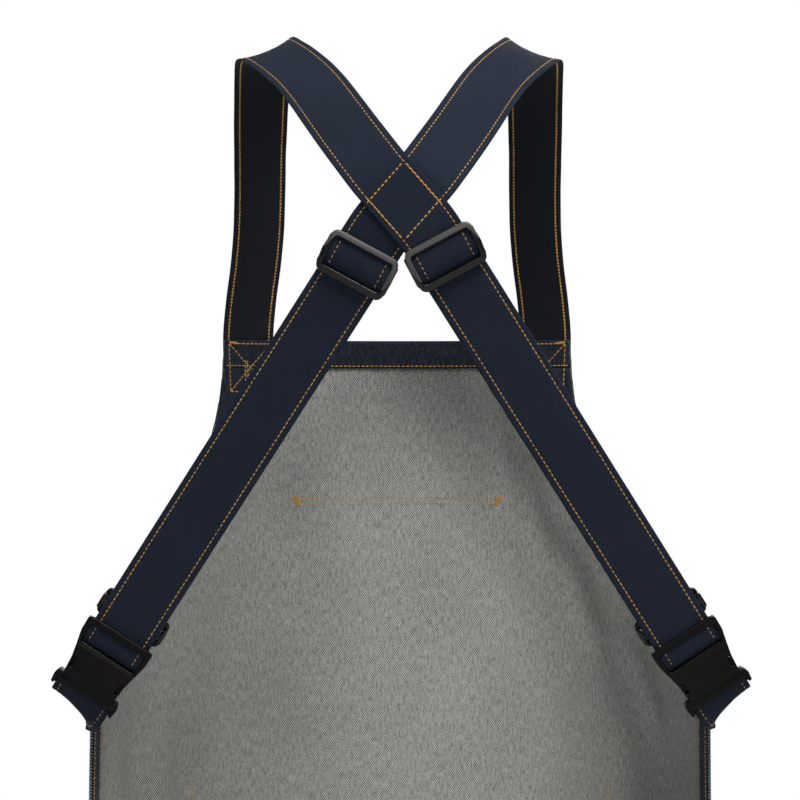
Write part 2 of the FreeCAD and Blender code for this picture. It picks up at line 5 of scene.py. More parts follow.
import bmesh
import bpy
import numpy as np
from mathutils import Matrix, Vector


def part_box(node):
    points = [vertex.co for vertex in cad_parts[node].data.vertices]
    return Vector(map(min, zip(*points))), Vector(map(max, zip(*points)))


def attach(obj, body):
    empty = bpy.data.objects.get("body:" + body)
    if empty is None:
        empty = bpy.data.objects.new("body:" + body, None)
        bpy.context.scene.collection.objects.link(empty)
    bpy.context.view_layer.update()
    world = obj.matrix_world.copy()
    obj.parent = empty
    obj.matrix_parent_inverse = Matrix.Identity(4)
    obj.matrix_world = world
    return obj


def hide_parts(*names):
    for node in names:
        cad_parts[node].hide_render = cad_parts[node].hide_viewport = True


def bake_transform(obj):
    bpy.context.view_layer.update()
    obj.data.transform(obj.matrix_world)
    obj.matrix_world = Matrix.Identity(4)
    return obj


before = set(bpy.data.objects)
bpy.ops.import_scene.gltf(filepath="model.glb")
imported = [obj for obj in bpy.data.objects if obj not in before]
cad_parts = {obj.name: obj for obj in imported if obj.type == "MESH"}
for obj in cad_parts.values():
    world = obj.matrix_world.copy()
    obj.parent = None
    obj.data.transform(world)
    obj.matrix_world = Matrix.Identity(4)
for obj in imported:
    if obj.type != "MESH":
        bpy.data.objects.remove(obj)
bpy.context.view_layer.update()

MM = 0.001
SIDES = {"left": -1, "right": 1}
OTHER = {"left": "right", "right": "left"}

# ---- sizes that repeat the CAD model's ----
STRAP_WIDTH = 38 * MM
STRAP_THICK = 1.6 * MM
LAYER_GAP = 3.3 * MM
RETURN_N = STRAP_THICK + LAYER_GAP
BAR_FRONT = STRAP_THICK / 2 + 0.35 * MM
BAR_THICK = 2.6 * MM
FRONT_BAR_THICK = 2.45 * MM
RAIL_INNER = STRAP_WIDTH / 2 + 0.6 * MM
RAIL_OUTER = RAIL_INNER + 3.4 * MM
CLOTH_THICK = 1.2 * MM
HEM_THICK = 1.0 * MM
TOP_HEM_WIDTH = 19 * MM
FACING_WIDTH = 22 * MM
SIDE_HEM_WIDTH = 16 * MM
BOTTOM_HEM_WIDTH = 22 * MM
CROSS = Vector((0, -0.146, -0.106))
RUN_START = Vector((0.0133, -0.146, -0.121295))
RUN_END = Vector((0.181, -0.088032, -0.382))
CROSS_ENTRY = Vector((0.014592, -0.146, -0.089508))
STRAP_SHIFT = 1.2 * MM
SOCKET_AT = (RUN_END - RUN_START).length - 20 * MM
CREST = 87.3 * MM
CHEST = (0.165, 0.120, 0.0)
SIDE_HALF_WIDTH = 0.192
WAIST = (SIDE_HALF_WIDTH + 6 * MM, 0.243, -0.118)
HEM = (SIDE_HALF_WIDTH + 21 * MM, 0.240, -0.108)
POCKET_TOP_Z = -0.290
POCKET_DEPTH = 0.330
POCKET_MOUTH_DROP = 0.190
POCKET_TOP_HALF = 0.074
POCKET_HALF = 0.165
POCKET_LIFT = 0.35 * MM

panel_low, panel_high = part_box("apron_panel")
BIB_TOP_Z = panel_high.z
BOTTOM_Z = panel_low.z
CORNER_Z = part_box("armhole_facing_left")[0].z
BIB_HALF_WIDTH = 0.1175
SLIDER_AT = {"left": 25.81 * MM, "right": 20.35 * MM}
SLIDER_HEIGHT = 27 * MM
KEEPER_HEIGHT = 18 * MM
KEEPER_BACK = 11.4 * MM
FOLD_AT = SOCKET_AT + 13 * MM - BAR_THICK / 2
RETURN_SPLIT = 0.165


# ---- small helpers ----
def unit(v):
    """Unit vectors along the last axis."""
    v = np.asarray(v, float)
    return v / np.linalg.norm(v, axis=-1, keepdims=True)


def smooth(low, high, x):
    """Smooth step from 0 at low to 1 at high."""
    t = np.clip((np.asarray(x, float) - low) / (high - low), 0, 1)
    return t * t * (3 - 2 * t)


def distances(points):
    """How far along a path each of its points lies."""
    steps = np.linalg.norm(np.diff(points, axis=0), axis=1)
    return np.concatenate([[0], np.cumsum(steps)])


def mesh_object(name, verts, faces, materials, face_slots=None, uvs=None):
    """Mesh object from plain arrays; uvs are given per vertex."""
    mesh = bpy.data.meshes.new(name)
    mesh.from_pydata([tuple(v) for v in np.asarray(verts, float)], [], [tuple(f) for f in faces])
    for material in materials:
        mesh.materials.append(material)
    if face_slots is not None:
        mesh.polygons.foreach_set("material_index", np.asarray(face_slots, np.int32))
    mesh.polygons.foreach_set("use_smooth", [True] * len(mesh.polygons))
    if uvs is not None:
        layer = mesh.uv_layers.new(name="UVMap")
        index = np.zeros(len(mesh.loops), np.int32)
        mesh.loops.foreach_get("vertex_index", index)
        layer.data.foreach_set("uv", np.asarray(uvs, np.float32)[index].ravel())
    mesh.validate()
    obj = bpy.data.objects.new(name, mesh)
    bpy.context.scene.collection.objects.link(obj)
    return obj


def grid_faces(rows, columns, closed=False):
    """Quads of a rows x columns grid of points; closed joins the last column to the first."""
    last = columns if closed else columns - 1
    return [
        (i * columns + j, i * columns + (j + 1) % columns,
         (i + 1) * columns + (j + 1) % columns, (i + 1) * columns + j)
        for i in range(rows - 1) for j in range(last)
    ]


# ---- materials ----
class Nodes:
    """A material's node tree with short calls."""

    def __init__(self, name):
        self.material = bpy.data.materials.new(name)
        self.material.use_nodes = True
        self.tree = self.material.node_tree
        self.shader = self.tree.nodes["Principled BSDF"]

    def add(self, kind, **values):
        node = self.tree.nodes.new(kind)
        for key, value in values.items():
            setattr(node, key, value)
        return node

    def link(self, out, into):
        self.tree.links.new(out, into)

    def math(self, operation, a, b=None):
        node = self.add("ShaderNodeMath", operation=operation)
        for socket, value in zip(node.inputs, (a, b)):
            if value is None:
                continue
            if hasattr(value, "is_linked"):
                self.link(value, socket)
            else:
                socket.default_value = value
        return node.outputs[0]

    def plus(self, a, b):
        return self.math("ADD", a, b)

    def times(self, a, b):
        return self.math("MULTIPLY", a, b)

    def split(self, vector):
        """First two parts of a vector."""
        node = self.add("ShaderNodeSeparateXYZ")
        self.link(vector, node.inputs[0])
        return node.outputs[0], node.outputs[1]

    def coords(self, kind):
        return self.add("ShaderNodeTexCoord").outputs[kind]

    def noise(self, vector, scale, detail=3.0, roughness=0.55):
        node = self.add("ShaderNodeTexNoise")
        node.inputs["Scale"].default_value = scale
        node.inputs["Detail"].default_value = detail
        node.inputs["Roughness"].default_value = roughness
        self.link(vector, node.inputs["Vector"])
        return node.outputs["Fac"]

    def stretch(self, vector, scale):
        node = self.add("ShaderNodeMapping")
        node.inputs["Scale"].default_value = scale
        self.link(vector, node.inputs["Vector"])
        return node.outputs["Vector"]

    def grain(self, vector, scale, detail=3.0, roughness=0.55):
        """Noise with its own scale along each axis."""
        return self.noise(self.stretch(vector, scale), 1.0, detail, roughness)

    def ramp(self, value, stops):
        node = self.add("ShaderNodeValToRGB")
        while len(node.color_ramp.elements) < len(stops):
            node.color_ramp.elements.new(0.5)
        for element, (at, colour) in zip(node.color_ramp.elements, stops):
            element.position = at
            element.color = (*colour, 1)
        self.link(value, node.inputs["Fac"])
        return node.outputs["Color"]

    def greys(self, value, stops):
        """Ramp whose colours are greys."""
        return self.ramp(value, [(at, (grey,) * 3) for at, grey in stops])

    def darken(self, colour, shade):
        """A colour multiplied by a shade."""
        node = self.add("ShaderNodeMix", data_type="RGBA", blend_type="MULTIPLY")
        sockets = {s.name: s for s in node.inputs if s.enabled}
        sockets["Factor"].default_value = 1.0
        self.link(colour, sockets["A"])
        self.link(shade, sockets["B"])
        return [s for s in node.outputs if s.enabled][0]

    def bump(self, height, strength, distance):
        node = self.add("ShaderNodeBump")
        node.inputs["Strength"].default_value = strength
        node.inputs["Distance"].default_value = distance
        self.link(height, node.inputs["Height"])
        self.link(node.outputs["Normal"], self.shader.inputs["Normal"])

    def set(self, **values):
        for key, value in values.items():
            self.shader.inputs[key.replace("_", " ")].default_value = value


def wide_noise(m, uv, amount):
    """Broad uneven noise about zero, which makes the painted shade uneven."""
    return m.times(m.math("SUBTRACT", m.grain(uv, (11, 5, 1), 2.0), 0.5), amount)


def painted_shade(m, colour, uv, flanks):
    """Painted shade: colour darkened to the flanks, under the top hem and along one soft slanting band that
    stands for the shade of a crease.
    """
    across, up = m.split(uv)
    away = m.math("ABSOLUTE", m.plus(across, -0.05))
    soft = m.plus(m.times(away, 5.0), wide_noise(m, uv, 0.5))
    # painted shade: the flanks, turned away from the light, and the bib's top under its hem are darkened
    under_hem = m.times(m.math("MAXIMUM", m.plus(up, 0.32), 0.0), 7.0)
    colour = m.darken(colour, m.greys(m.plus(soft, under_hem), [(0.30, 1.0), (0.95, 1.0 - flanks)]))
    # painted shade along a soft slanting band, standing for the shade of a crease
    crease = m.plus(m.times(across, 0.84), m.times(up, 0.543))
    crease = m.plus(m.times(crease, 8.0), 1.16)
    crease = m.plus(crease, wide_noise(m, uv, 0.35))
    return m.darken(colour, m.greys(crease, [(0.0, 1.0), (0.5, 0.60), (1.0, 0.92)]))


def twill(name, warp, weft, cover, lean, pitch, slub, blend, flanks=0.0):
    """Diagonal twill: warp shows on the ribs and weft between them; lean is +1 or -1."""
    m = Nodes(name)
    uv = m.coords("UV")
    across, up = m.split(uv)
    turns = 2 * math.pi / pitch
    shift = m.plus(m.times(m.grain(uv, (70, 55, 1)), 4.0), m.times(m.grain(uv, (520, 240, 1), 2.0), 2.2))
    phase = m.plus(m.plus(m.times(across, lean * turns * 0.80), m.times(up, turns * 0.60)), shift)
    ribs = m.plus(m.times(m.math("SINE", phase), 0.5), 0.5)
    clear = m.plus(m.times(m.grain(uv, (16, 12, 1)), 0.9), 0.15)
    yarn = m.grain(uv, (1500, 380, 1), 2.0)
    weave = m.grain(uv, (480, 900, 1), 2.0)
    slubs = m.grain(uv, (700, 150, 1), 3.0, 0.7)
    broad = m.grain(uv, (9, 7, 1))
    lines = m.plus(m.times(m.math("SUBTRACT", ribs, 0.5), clear), 0.5)
    show = m.plus(m.times(lines, 0.74), m.times(yarn, 0.42))
    show = m.plus(show, m.times(weave, 0.25))
    show = m.plus(show, m.times(m.math("SUBTRACT", slubs, 0.5), slub))
    base = m.ramp(show, [(cover - blend, weft), (cover + blend, warp)])
    # painted shade: broad soft blotches darken the cloth by up to about a sixth, standing for the shade of
    # soft folds
    colour = m.darken(base, m.ramp(broad, [(0.3, (0.84, 0.84, 0.85)), (0.7, (1.0, 1.0, 1.0))]))
    # painted shade on the flanks, under the top hem and along a crease band, when flanks is given
    if flanks:
        colour = painted_shade(m, colour, uv, flanks)
    m.link(colour, m.shader.inputs["Base Color"])
    m.link(m.greys(ribs, [(0.0, 0.85), (1.0, 0.77)]), m.shader.inputs["Roughness"])
    m.set(Specular_IOR_Level=0.12, Sheen_Weight=0.06, Sheen_Roughness=0.5)
    m.bump(m.plus(lines, m.times(yarn, 0.7)), 0.5, 0.35 * MM)
    return m.material


def strap_cloth(name, colour, pale):
    """Closely woven plain strap cloth: fine cross ribs, faint lengthwise yarns and soft wear."""
    m = Nodes(name)
    uv = m.coords("UV")
    across, along = m.split(uv)
    cross = m.math("SINE", m.times(along, 2 * math.pi / (0.9 * MM)))
    long = m.math("SINE", m.times(across, 2 * math.pi / (0.8 * MM)))
    weave = m.times(cross, long)
    grain = m.grain(uv, (900, 900, 1), 2.0)
    wear = m.grain(uv, (50, 22, 1), 4.0)
    tone = m.plus(m.times(grain, 0.6), m.times(wear, 0.55))
    m.link(m.ramp(tone, [(0.35, colour), (0.85, pale)]), m.shader.inputs["Base Color"])
    m.set(Roughness=0.8, Specular_IOR_Level=0.12, Sheen_Weight=0.04, Sheen_Roughness=0.4)
    m.bump(m.plus(weave, m.times(grain, 1.6)), 0.35, 0.2 * MM)
    return m.material


def thread(name, colour, dark):
    """Twisted sewing thread."""
    m = Nodes(name)
    where = m.coords("Object")
    grain = m.noise(where, 1800.0, 2.0)
    m.link(m.ramp(grain, [(0.35, dark), (0.65, colour)]), m.shader.inputs["Base Color"])
    m.set(Roughness=0.5, Specular_IOR_Level=0.45, Sheen_Weight=0.2)
    m.bump(grain, 0.4, 0.15 * MM)
    return m.material


def hardware(name, colour, worn, rough, specular=0.5, grain=0.12):
    """Moulded or coated hard surface with faint scuffs and slightly uneven gloss."""
    m = Nodes(name)
    where = m.coords("Object")
    fine = m.noise(where, 900.0)
    scuff = m.grain(where, (160, 160, 420), 5.0, 0.7)
    m.link(m.ramp(scuff, [(0.45, colour), (0.75, worn)]), m.shader.inputs["Base Color"])
    m.link(m.greys(scuff, [(0.35, rough), (0.75, rough + 0.12)]), m.shader.inputs["Roughness"])
    m.set(Specular_IOR_Level=specular)
    m.bump(fine, grain, 0.1 * MM)
    return m.material


# the inside denim carries painted shade on its flanks, under the bib's top hem and along a slanting crease
# band
INNER_TWILL = twill("denim_inside", (0.60, 0.605, 0.555), (0.045, 0.047, 0.045), cover=0.66, lean=1,
                    pitch=1.2 * MM, slub=0.66, blend=0.25, flanks=0.26)
OUTER_TWILL = twill("denim_outside", (0.009, 0.0135, 0.028), (0.060, 0.080, 0.118), cover=0.56, lean=-1,
                    pitch=1.3 * MM, slub=0.75, blend=0.15)
HEM_TWILL = twill("denim_turned_in", (0.0050, 0.0070, 0.0118), (0.036, 0.048, 0.070), cover=0.58, lean=1,
                  pitch=1.3 * MM, slub=0.9, blend=0.13)
STRAP_OUT = strap_cloth("strap_navy", (0.0088, 0.0128, 0.0232), (0.0128, 0.0185, 0.0330))
STRAP_IN = strap_cloth("strap_lining", (0.0075, 0.0092, 0.0122), (0.0122, 0.0142, 0.0185))
GOLD = thread("gold_thread", (0.60, 0.31, 0.055), (0.30, 0.14, 0.022))
SERGE = thread("overlock_thread", (0.46, 0.53, 0.64), (0.09, 0.145, 0.26))
# painted reflection: the slider is gloss black, and its upper bar's front is painted grey for the light from
# above reflected in it
SLIDER = hardware("slider_painted_reflection", (0.046, 0.0425, 0.0415), (0.060, 0.0560, 0.0550),
                  rough=0.42, specular=0.4, grain=0.03)
SLIDER_BLACK = hardware("slider_gloss_black", (0.0036, 0.0032, 0.0031), (0.0056, 0.0050, 0.0048),
                        rough=0.20, specular=0.30, grain=0.02)
BUCKLE = hardware("buckle_plastic", (0.0040, 0.0031, 0.0026), (0.0060, 0.0048, 0.0040),
                  rough=0.34, specular=0.12, grain=0.06)


# ---- the cloth surface ----
def mixed(low, high, share):
    return low + (high - low) * share


ARMHOLE_DOWN = np.array([0, 0.132, 0.298, 0.449, 0.645, 0.82, 0.94, 1.0])   # share of its height
ARMHOLE_OUT = np.array([0, 0.020, 0.101, 0.221, 0.445, 0.690, 0.900, 1.0])   # share of its width
ARMHOLE_Z = mixed(BIB_TOP_Z, CORNER_Z, ARMHOLE_DOWN)
ARMHOLE_X = mixed(BIB_HALF_WIDTH, SIDE_HALF_WIDTH, ARMHOLE_OUT)


def spline_through(knots, values, at):
    """Natural cubic spline through the knots, read at many places; values may be vectors."""
    knots = np.asarray(knots, float)
    values = np.asarray(values, float).reshape(len(knots), -1)
    n = len(knots)
    h = np.diff(knots)
    a = np.zeros((n, n))
    b = np.zeros((n, values.shape[1]))
    a[0, 0] = a[-1, -1] = 1
    for i in range(1, n - 1):
        a[i, i - 1:i + 2] = h[i - 1], 2 * (h[i - 1] + h[i]), h[i]
        b[i] = 6 * ((values[i + 1] - values[i]) / h[i] - (values[i] - values[i - 1]) / h[i - 1])
    curve = np.linalg.solve(a, b)
    at = np.asarray(at, float)
    k = np.clip(np.searchsorted(knots, at) - 1, 0, n - 2)
    t, s = (at - knots[k])[:, None], h[k][:, None]
    left, right = values[k], values[k + 1]
    cl, cr = curve[k], curve[k + 1]
    slope = (right - left) / s - s * (2 * cl + cr) / 6
    return left + t * slope + t ** 2 * cl / 2 + t ** 3 * (cr - cl) / (6 * s)


def section(z):
    """Half width, depth and centre of the body's curve at heights z."""
    z = np.asarray(z, float)
    upper = np.clip((BIB_TOP_Z - z) / (BIB_TOP_Z - CORNER_Z), 0, 1)
    lower = np.clip((CORNER_Z - z) / (CORNER_Z - BOTTOM_Z), 0, 1)
    return [c + (w - c) * upper + (h - w) * lower for c, w, h in zip(CHEST, WAIST, HEM)]


TABLE_Z = np.linspace(BIB_TOP_Z + 0.004, BOTTOM_Z - 0.004, 430)
TABLE_ANGLE = np.linspace(0, math.radians(100), 400)


def arc_table():
    half, depth, _ = (v[:, None] for v in section(TABLE_Z))
    middle = (TABLE_ANGLE[1:] + TABLE_ANGLE[:-1]) / 2
    step = np.hypot(half * np.cos(middle), depth * np.sin(middle)) * (TABLE_ANGLE[1] - TABLE_ANGLE[0])
    return np.concatenate([np.zeros((len(TABLE_Z), 1)), np.cumsum(step, 1)], 1)


ARCS = arc_table()
TABLE_ARC = np.linspace(0, 0.33, 331)
ANGLES = np.array([np.interp(TABLE_ARC, row, TABLE_ANGLE) for row in ARCS])


def angle_at(arc, z):
    """Angle from the front's middle at signed distances along the cloth, at heights z."""
    i = np.clip((TABLE_Z[0] - z) / (TABLE_Z[0] - TABLE_Z[1]), 0, len(TABLE_Z) - 1.001)
    j = np.clip(np.abs(arc) / (TABLE_ARC[1] - TABLE_ARC[0]), 0, len(TABLE_ARC) - 1.001)
    i0, j0 = i.astype(int), j.astype(int)
    a, b = i - i0, j - j0
    found = (
        ANGLES[i0, j0] * (1 - a) * (1 - b) + ANGLES[i0 + 1, j0] * a * (1 - b)
        + ANGLES[i0, j0 + 1] * (1 - a) * b + ANGLES[i0 + 1, j0 + 1] * a * b
    )
    return np.sign(arc) * found


def edge_x(z):
    """Half width of the cloth seen from the front, above the corner."""
    return spline_through(-ARMHOLE_Z, ARMHOLE_X, -np.atleast_1d(z))[:, 0]


def edge_arc(z):
    """Distance along the cloth from its middle to its side edge."""
    z = np.atleast_1d(np.asarray(z, float))
    at = np.maximum(z, CORNER_Z)
    half, _, _ = section(at)
    angle = np.arcsin(edge_x(at) / half)
    i = np.clip((TABLE_Z[0] - at) / (TABLE_Z[0] - TABLE_Z[1]), 0, len(TABLE_Z) - 1.001).astype(int)
    return np.array([np.interp(g, TABLE_ANGLE, ARCS[k]) for g, k in zip(angle, i)])


SIDE_ARC = float(edge_arc(CORNER_Z)[0])

# soft folds: (arc, z) of both ends, half width across, depth (+ stands out of the front)
FOLDS = [
    ((-0.222, -0.425), (-0.205, -0.60), 0.013, 4.0 * MM),
    ((-0.188, -0.43), (-0.180, -0.62), 0.010, -3.0 * MM),
    ((-0.245, -0.46), (-0.235, -0.70), 0.011, -3.0 * MM),
    ((0.070, -0.235), (0.082, -0.30), 0.010, 3.4 * MM),
    ((0.088, -0.265), (0.110, -0.335), 0.010, 2.8 * MM),
    ((0.122, -0.325), (0.150, -0.385), 0.012, 3.6 * MM),
    ((0.185, -0.385), (0.215, -0.435), 0.012, 3.6 * MM),
    ((-0.080, -0.24), (-0.100, -0.31), 0.014, 1.8 * MM),
    ((-0.120, -0.34), (-0.135, -0.42), 0.014, 2.0 * MM),
    ((0.030, -0.52), (0.045, -0.98), 0.030, -8.5 * MM),
    ((-0.045, -0.55), (-0.060, -1.00), 0.026, 7.5 * MM),
    ((0.120, -0.56), (0.135, -1.00), 0.028, 8.5 * MM),
    ((-0.140, -0.58), (-0.150, -1.00), 0.026, -7.5 * MM),
    ((0.215, -0.55), (0.222, -1.00), 0.022, -6.5 * MM),
    ((-0.225, -0.60), (-0.230, -1.00), 0.022, 6.0 * MM),
]


def fold_height(arc, z):
    """How far the hanging cloth stands out from its smooth shape."""
    total = np.zeros_like(arc)
    for (a0, z0), (a1, z1), wide, depth in FOLDS:
        along = np.array([a1 - a0, z1 - z0])
        length = np.linalg.norm(along)
        along = along / length
        t = (arc - a0) * along[0] + (z - z0) * along[1]
        off = (arc - a0) * -along[1] + (z - z0) * along[0]
        fade = smooth(-0.35 * length, 0.25 * length, t) * (1 - smooth(0.75 * length, 1.35 * length, t))
        total = total + depth * np.exp(-(off / wide) ** 2) * fade
    for wave_arc, wave_z, amount, phase in ((31, 9, 0.7, 0.4), (17, 14, 0.9, 2.1), (47, 23, 0.35, 4.0)):
        total = total + amount * MM * np.sin(wave_arc * arc + wave_z * z + phase) * np.sin(11 * z + phase)
    near_edge = smooth(0.0, 0.035, SIDE_ARC + 0.02 - np.abs(arc))
    near_top = smooth(0.0, 0.05, BIB_TOP_Z - z)
    corner = 1 - np.exp(-((np.abs(arc) - SIDE_ARC) / 0.05) ** 2 - ((z - CORNER_Z + 0.02) / 0.05) ** 2)
    return total * near_edge * near_top * corner


def cloth(arc, z, lift=0.0):
    """Points and outward normals of the cloth's outer face, lifted outward."""
    arc, z = np.broadcast_arrays(np.asarray(arc, float), np.asarray(z, float))
    shape = arc.shape
    arc, z = arc.ravel(), z.ravel()
    lift = np.broadcast_to(np.asarray(lift, float), shape).ravel()

    def place(s, h):
        half, depth, centre = section(h)
        angle = angle_at(s, h)
        normal = unit(np.stack([np.sin(angle) / half, np.cos(angle) / depth, np.zeros_like(h)], 1))
        base = np.stack([half * np.sin(angle), centre + depth * np.cos(angle), h], 1)
        return base + normal * fold_height(s, h)[:, None], normal

    e = 1.5 * MM
    point, normal = place(arc, z)
    side = place(arc + e, z)[0] - place(arc - e, z)[0]
    down = place(arc, z - e)[0] - place(arc, z + e)[0]
    true = unit(np.cross(side, down))
    true *= np.sign((true * normal).sum(1, keepdims=True))
    return (point + true * lift[:, None]).reshape(*shape, 3), true.reshape(*shape, 3)


def layer(name, arcs, zs, outer, inner, materials, puff=None):
    """Closed sheet of cloth over a grid of (arc, z), from lift inner to lift outer."""
    rows, columns = arcs.shape
    raised = 0.0 if puff is None else puff(arcs, zs)
    front, _ = cloth(arcs, zs, outer + raised)
    back, _ = cloth(arcs, zs, inner + (raised if np.ndim(raised) else 0.0))
    verts = np.concatenate([front.reshape(-1, 3), back.reshape(-1, 3)])
    uvs = np.stack([arcs.ravel(), zs.ravel()], 1)
    uvs = np.concatenate([uvs, uvs])
    top = grid_faces(rows, columns)
    if np.cross(front[0, 1] - front[0, 0], front[1, 0] - front[0, 0]) @ (front[0, 0] - back[0, 0]) < 0:
        top = [f[::-1] for f in top]
    shift = rows * columns
    bottom = [tuple(k + shift for k in f[::-1]) for f in top]
    ring = [(0, j) for j in range(columns)] + [(i, columns - 1) for i in range(1, rows)]
    ring += [(rows - 1, j) for j in range(columns - 2, -1, -1)] + [(i, 0) for i in range(rows - 2, 0, -1)]
    ring = [i * columns + j for i, j in ring]
    turned = top[0].index(0) == 0 and top[0][1] == 1
    rim = []
    for a, b in zip(ring, ring[1:] + ring[:1]):
        quad = (b, a, a + shift, b + shift)
        rim.append(quad if turned else quad[::-1])
    faces = top + bottom + rim
    slots = [0] * len(top) + [1] * len(bottom) + [len(materials) - 1] * len(rim)
    return mesh_object(name, verts, faces, materials, slots, uvs)


def cloth_grid(high, low, limits, rows, columns):
    """Grid of arcs and heights between two heights; limits gives the arcs' range at each."""
    zs = np.linspace(high, low, rows)
    lo, hi = limits(zs)
    share = np.linspace(0, 1, columns)
    arcs = lo[:, None] + (hi - lo)[:, None] * share
    return arcs, np.repeat(zs[:, None], columns, 1)


# ---- sewing ----
STITCH_SHAPE = (   # place along a stitch, girth and rise, as shares of its length and radius
    (0.06, 0.55, -0.55), (0.25, 1.0, -0.05), (0.5, 1.06, 0.12), (0.75, 1.0, -0.05), (0.94, 0.55, -0.55),
)


class Sewing:
    """Collects stitches and turns them into one mesh."""

    def __init__(self):
        self.verts = []
        self.faces = []
        self.count = 0

    def stitch(self, a, b, up, radius, sides=6):
        """One stitch from a to b, lying on a surface with normal up."""
        a, b, up = (np.asarray(v, float) for v in (a, b, up))
        along = unit(b - a)
        across = unit(np.cross(along, up))
        up = np.cross(across, along)
        length = np.linalg.norm(b - a)
        rings = []
        for t, r, sink in STITCH_SHAPE:
            centre = a + along * length * t + up * radius * sink
            for k in range(sides):
                angle = 2 * math.pi * k / sides
                rings.append(centre + (across * math.cos(angle) + up * math.sin(angle) * 0.8) * radius * r)
        start = self.count
        self.verts += rings
        for i in range(4):
            for k in range(sides):
                n = (k + 1) % sides
                self.faces.append((start + i * sides + k, start + i * sides + n,
                                   start + (i + 1) * sides + n, start + (i + 1) * sides + k))
        self.faces.append(tuple(start + k for k in reversed(range(sides))))
        self.faces.append(tuple(start + 4 * sides + k for k in range(sides)))
        self.count += len(rings)

    def row(self, points, normals, pitch=3.1 * MM, radius=0.34 * MM, fill=0.86, sway=0.0):
        """A row of stitches along a path given by close points and the surface's normals."""
        points, normals = np.asarray(points, float), np.asarray(normals, float)
        walked = distances(points)
        number = max(1, int(round(walked[-1] / pitch)))
        pitch = walked[-1] / number

        def at(s):
            s = min(max(s, 0.0), walked[-1])
            return np.array([np.interp(s, walked, points[:, k]) for k in range(3)])

        for i in range(number):
            low = (i + (1 - fill) / 2) * pitch
            up = unit(np.array([np.interp(low, walked, normals[:, k]) for k in range(3)]))
            a, b = at(low), at(low + fill * pitch)
            side = unit(np.cross(b - a, up)) * sway * math.sin(i * 2.4)
            self.stitch(a + side, b - side, up, radius)

    def piece(self, name, material, body="root"):
        obj = mesh_object(name, self.verts, self.faces, [material])
        if body:
            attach(obj, body)
        return obj


def row_on_cloth(sewing, path, lift, inside=False, **how):
    """Stitches through the cloth along a path of (arc, z) corners, on its outside or inside."""
    path = np.asarray(path, float)
    walked = distances(path)
    s = np.linspace(0, walked[-1], max(3, int(walked[-1] / (1.6 * MM))))
    arc, z = np.interp(s, walked, path[:, 0]), np.interp(s, walked, path[:, 1])
    point, normal = cloth(arc, z, lift)
    sewing.row(point, -normal if inside else normal, **how)


# ---- straps ----
def run_frame(side):
    """Origin, along, across and outward directions of the lower strap run on one side."""
    sign = SIDES[side]
    shift = -sign * STRAP_SHIFT
    start = np.array([sign * RUN_START.x, RUN_START.y + shift, RUN_START.z])
    end = np.array([sign * RUN_END.x, RUN_END.y + shift, RUN_END.z])
    along = unit(end - start)
    outward = np.array([0.0, -1.0, 0.0])
    outward = unit(outward - along * (outward @ along))
    wide = np.cross(along, outward)
    return start, along, wide, outward


def on_run(points, side, distance=0.0):
    """Points in (wide, along, outward) axes moved to their place on the run."""
    start, along, wide, outward = run_frame(side)
    points = np.asarray(points, float)
    return start + points @ np.stack([wide, along, outward]) + along * distance


def frames_along(centres, laterals, flip):
    """Unit across and outward directions at right angles to a strap's line."""
    tangent = unit(np.gradient(centres, axis=0))
    lateral = unit(laterals - tangent * (laterals * tangent).sum(1, keepdims=True))
    normal = unit(np.cross(tangent, lateral)) * flip
    return tangent, lateral, normal


HALF_PROFILE = (   # distance from the strap's middle in mm, and share of its full thickness there
    (6, 1.0), (12, 1.0), (14.2, 0.95), (15.6, 0.72), (17.2, 0.98), (18.3, 0.9), (18.85, 0.62), (19, 0),
)
PROFILE = [(-v, h) for v, h in reversed(HALF_PROFILE)] + [(0, 1.0), *HALF_PROFILE]
PROFILE_V, PROFILE_H = np.array(PROFILE, float).T * [[MM], [1]]
SEAM = 15.6 * MM
CLOTH_SIDES = (STRAP_OUT, STRAP_IN)


def strap_mesh(name, centres, lateral, normal, materials=CLOTH_SIDES, thick=STRAP_THICK,
               width=STRAP_WIDTH, wave=0.0, curl=0.0):
    """Folded-edge strap swept along its line; first material outside, second inside."""
    centres, lateral, normal = (np.asarray(v, float) for v in (centres, lateral, normal))
    rows = len(centres)
    thick, curl = (np.broadcast_to(np.asarray(v, float), (rows,))[:, None] for v in (thick, curl))
    walked = distances(centres)
    v = PROFILE_V * (width / STRAP_WIDTH)
    top = PROFILE_H * 0.5
    ring_v = np.concatenate([v, v[-2:0:-1]])
    ring_h = np.concatenate([top, -top[-2:0:-1]])
    columns = len(ring_v)
    across = ring_v / v[-1]
    long_wave, short_wave = np.sin(walked * 95 + 1)[:, None], np.sin(walked * 210)[:, None]
    ripple = wave * (short_wave * across ** 2 + 0.6 * long_wave * across) + curl * (across ** 2 - 0.64)
    near_seam = np.abs(np.abs(ring_v) - SEAM) < 1.8 * MM
    pucker = 1 + 0.10 * np.sin(walked * 2 * math.pi / (3.2 * MM))[:, None] * near_seam
    verts = (
        centres[:, None, :] + lateral[:, None, :] * ring_v[None, :, None]
        + normal[:, None, :] * (ring_h[None, :] * thick * pucker + ripple)[:, :, None]
    ).reshape(-1, 3)
    uvs = np.stack([np.tile(ring_v, rows), np.repeat(walked, columns)], 1)
    faces = grid_faces(rows, columns, closed=True)
    slots = [0 if (k % columns) < len(v) - 1 else 1 for k in range(len(faces))]
    first_cap, last_cap = tuple(range(columns)), tuple(range((rows - 1) * columns, rows * columns))
    grid = verts.reshape(rows, columns, 3)
    if np.cross(grid[0, 9] - grid[0, 8], grid[1, 8] - grid[0, 8]) @ normal[0] < 0:
        faces = [f[::-1] for f in faces] + [first_cap, last_cap[::-1]]
    else:
        faces += [first_cap[::-1], last_cap]
    return mesh_object(name, verts, faces, materials, slots + [0, 0], uvs)


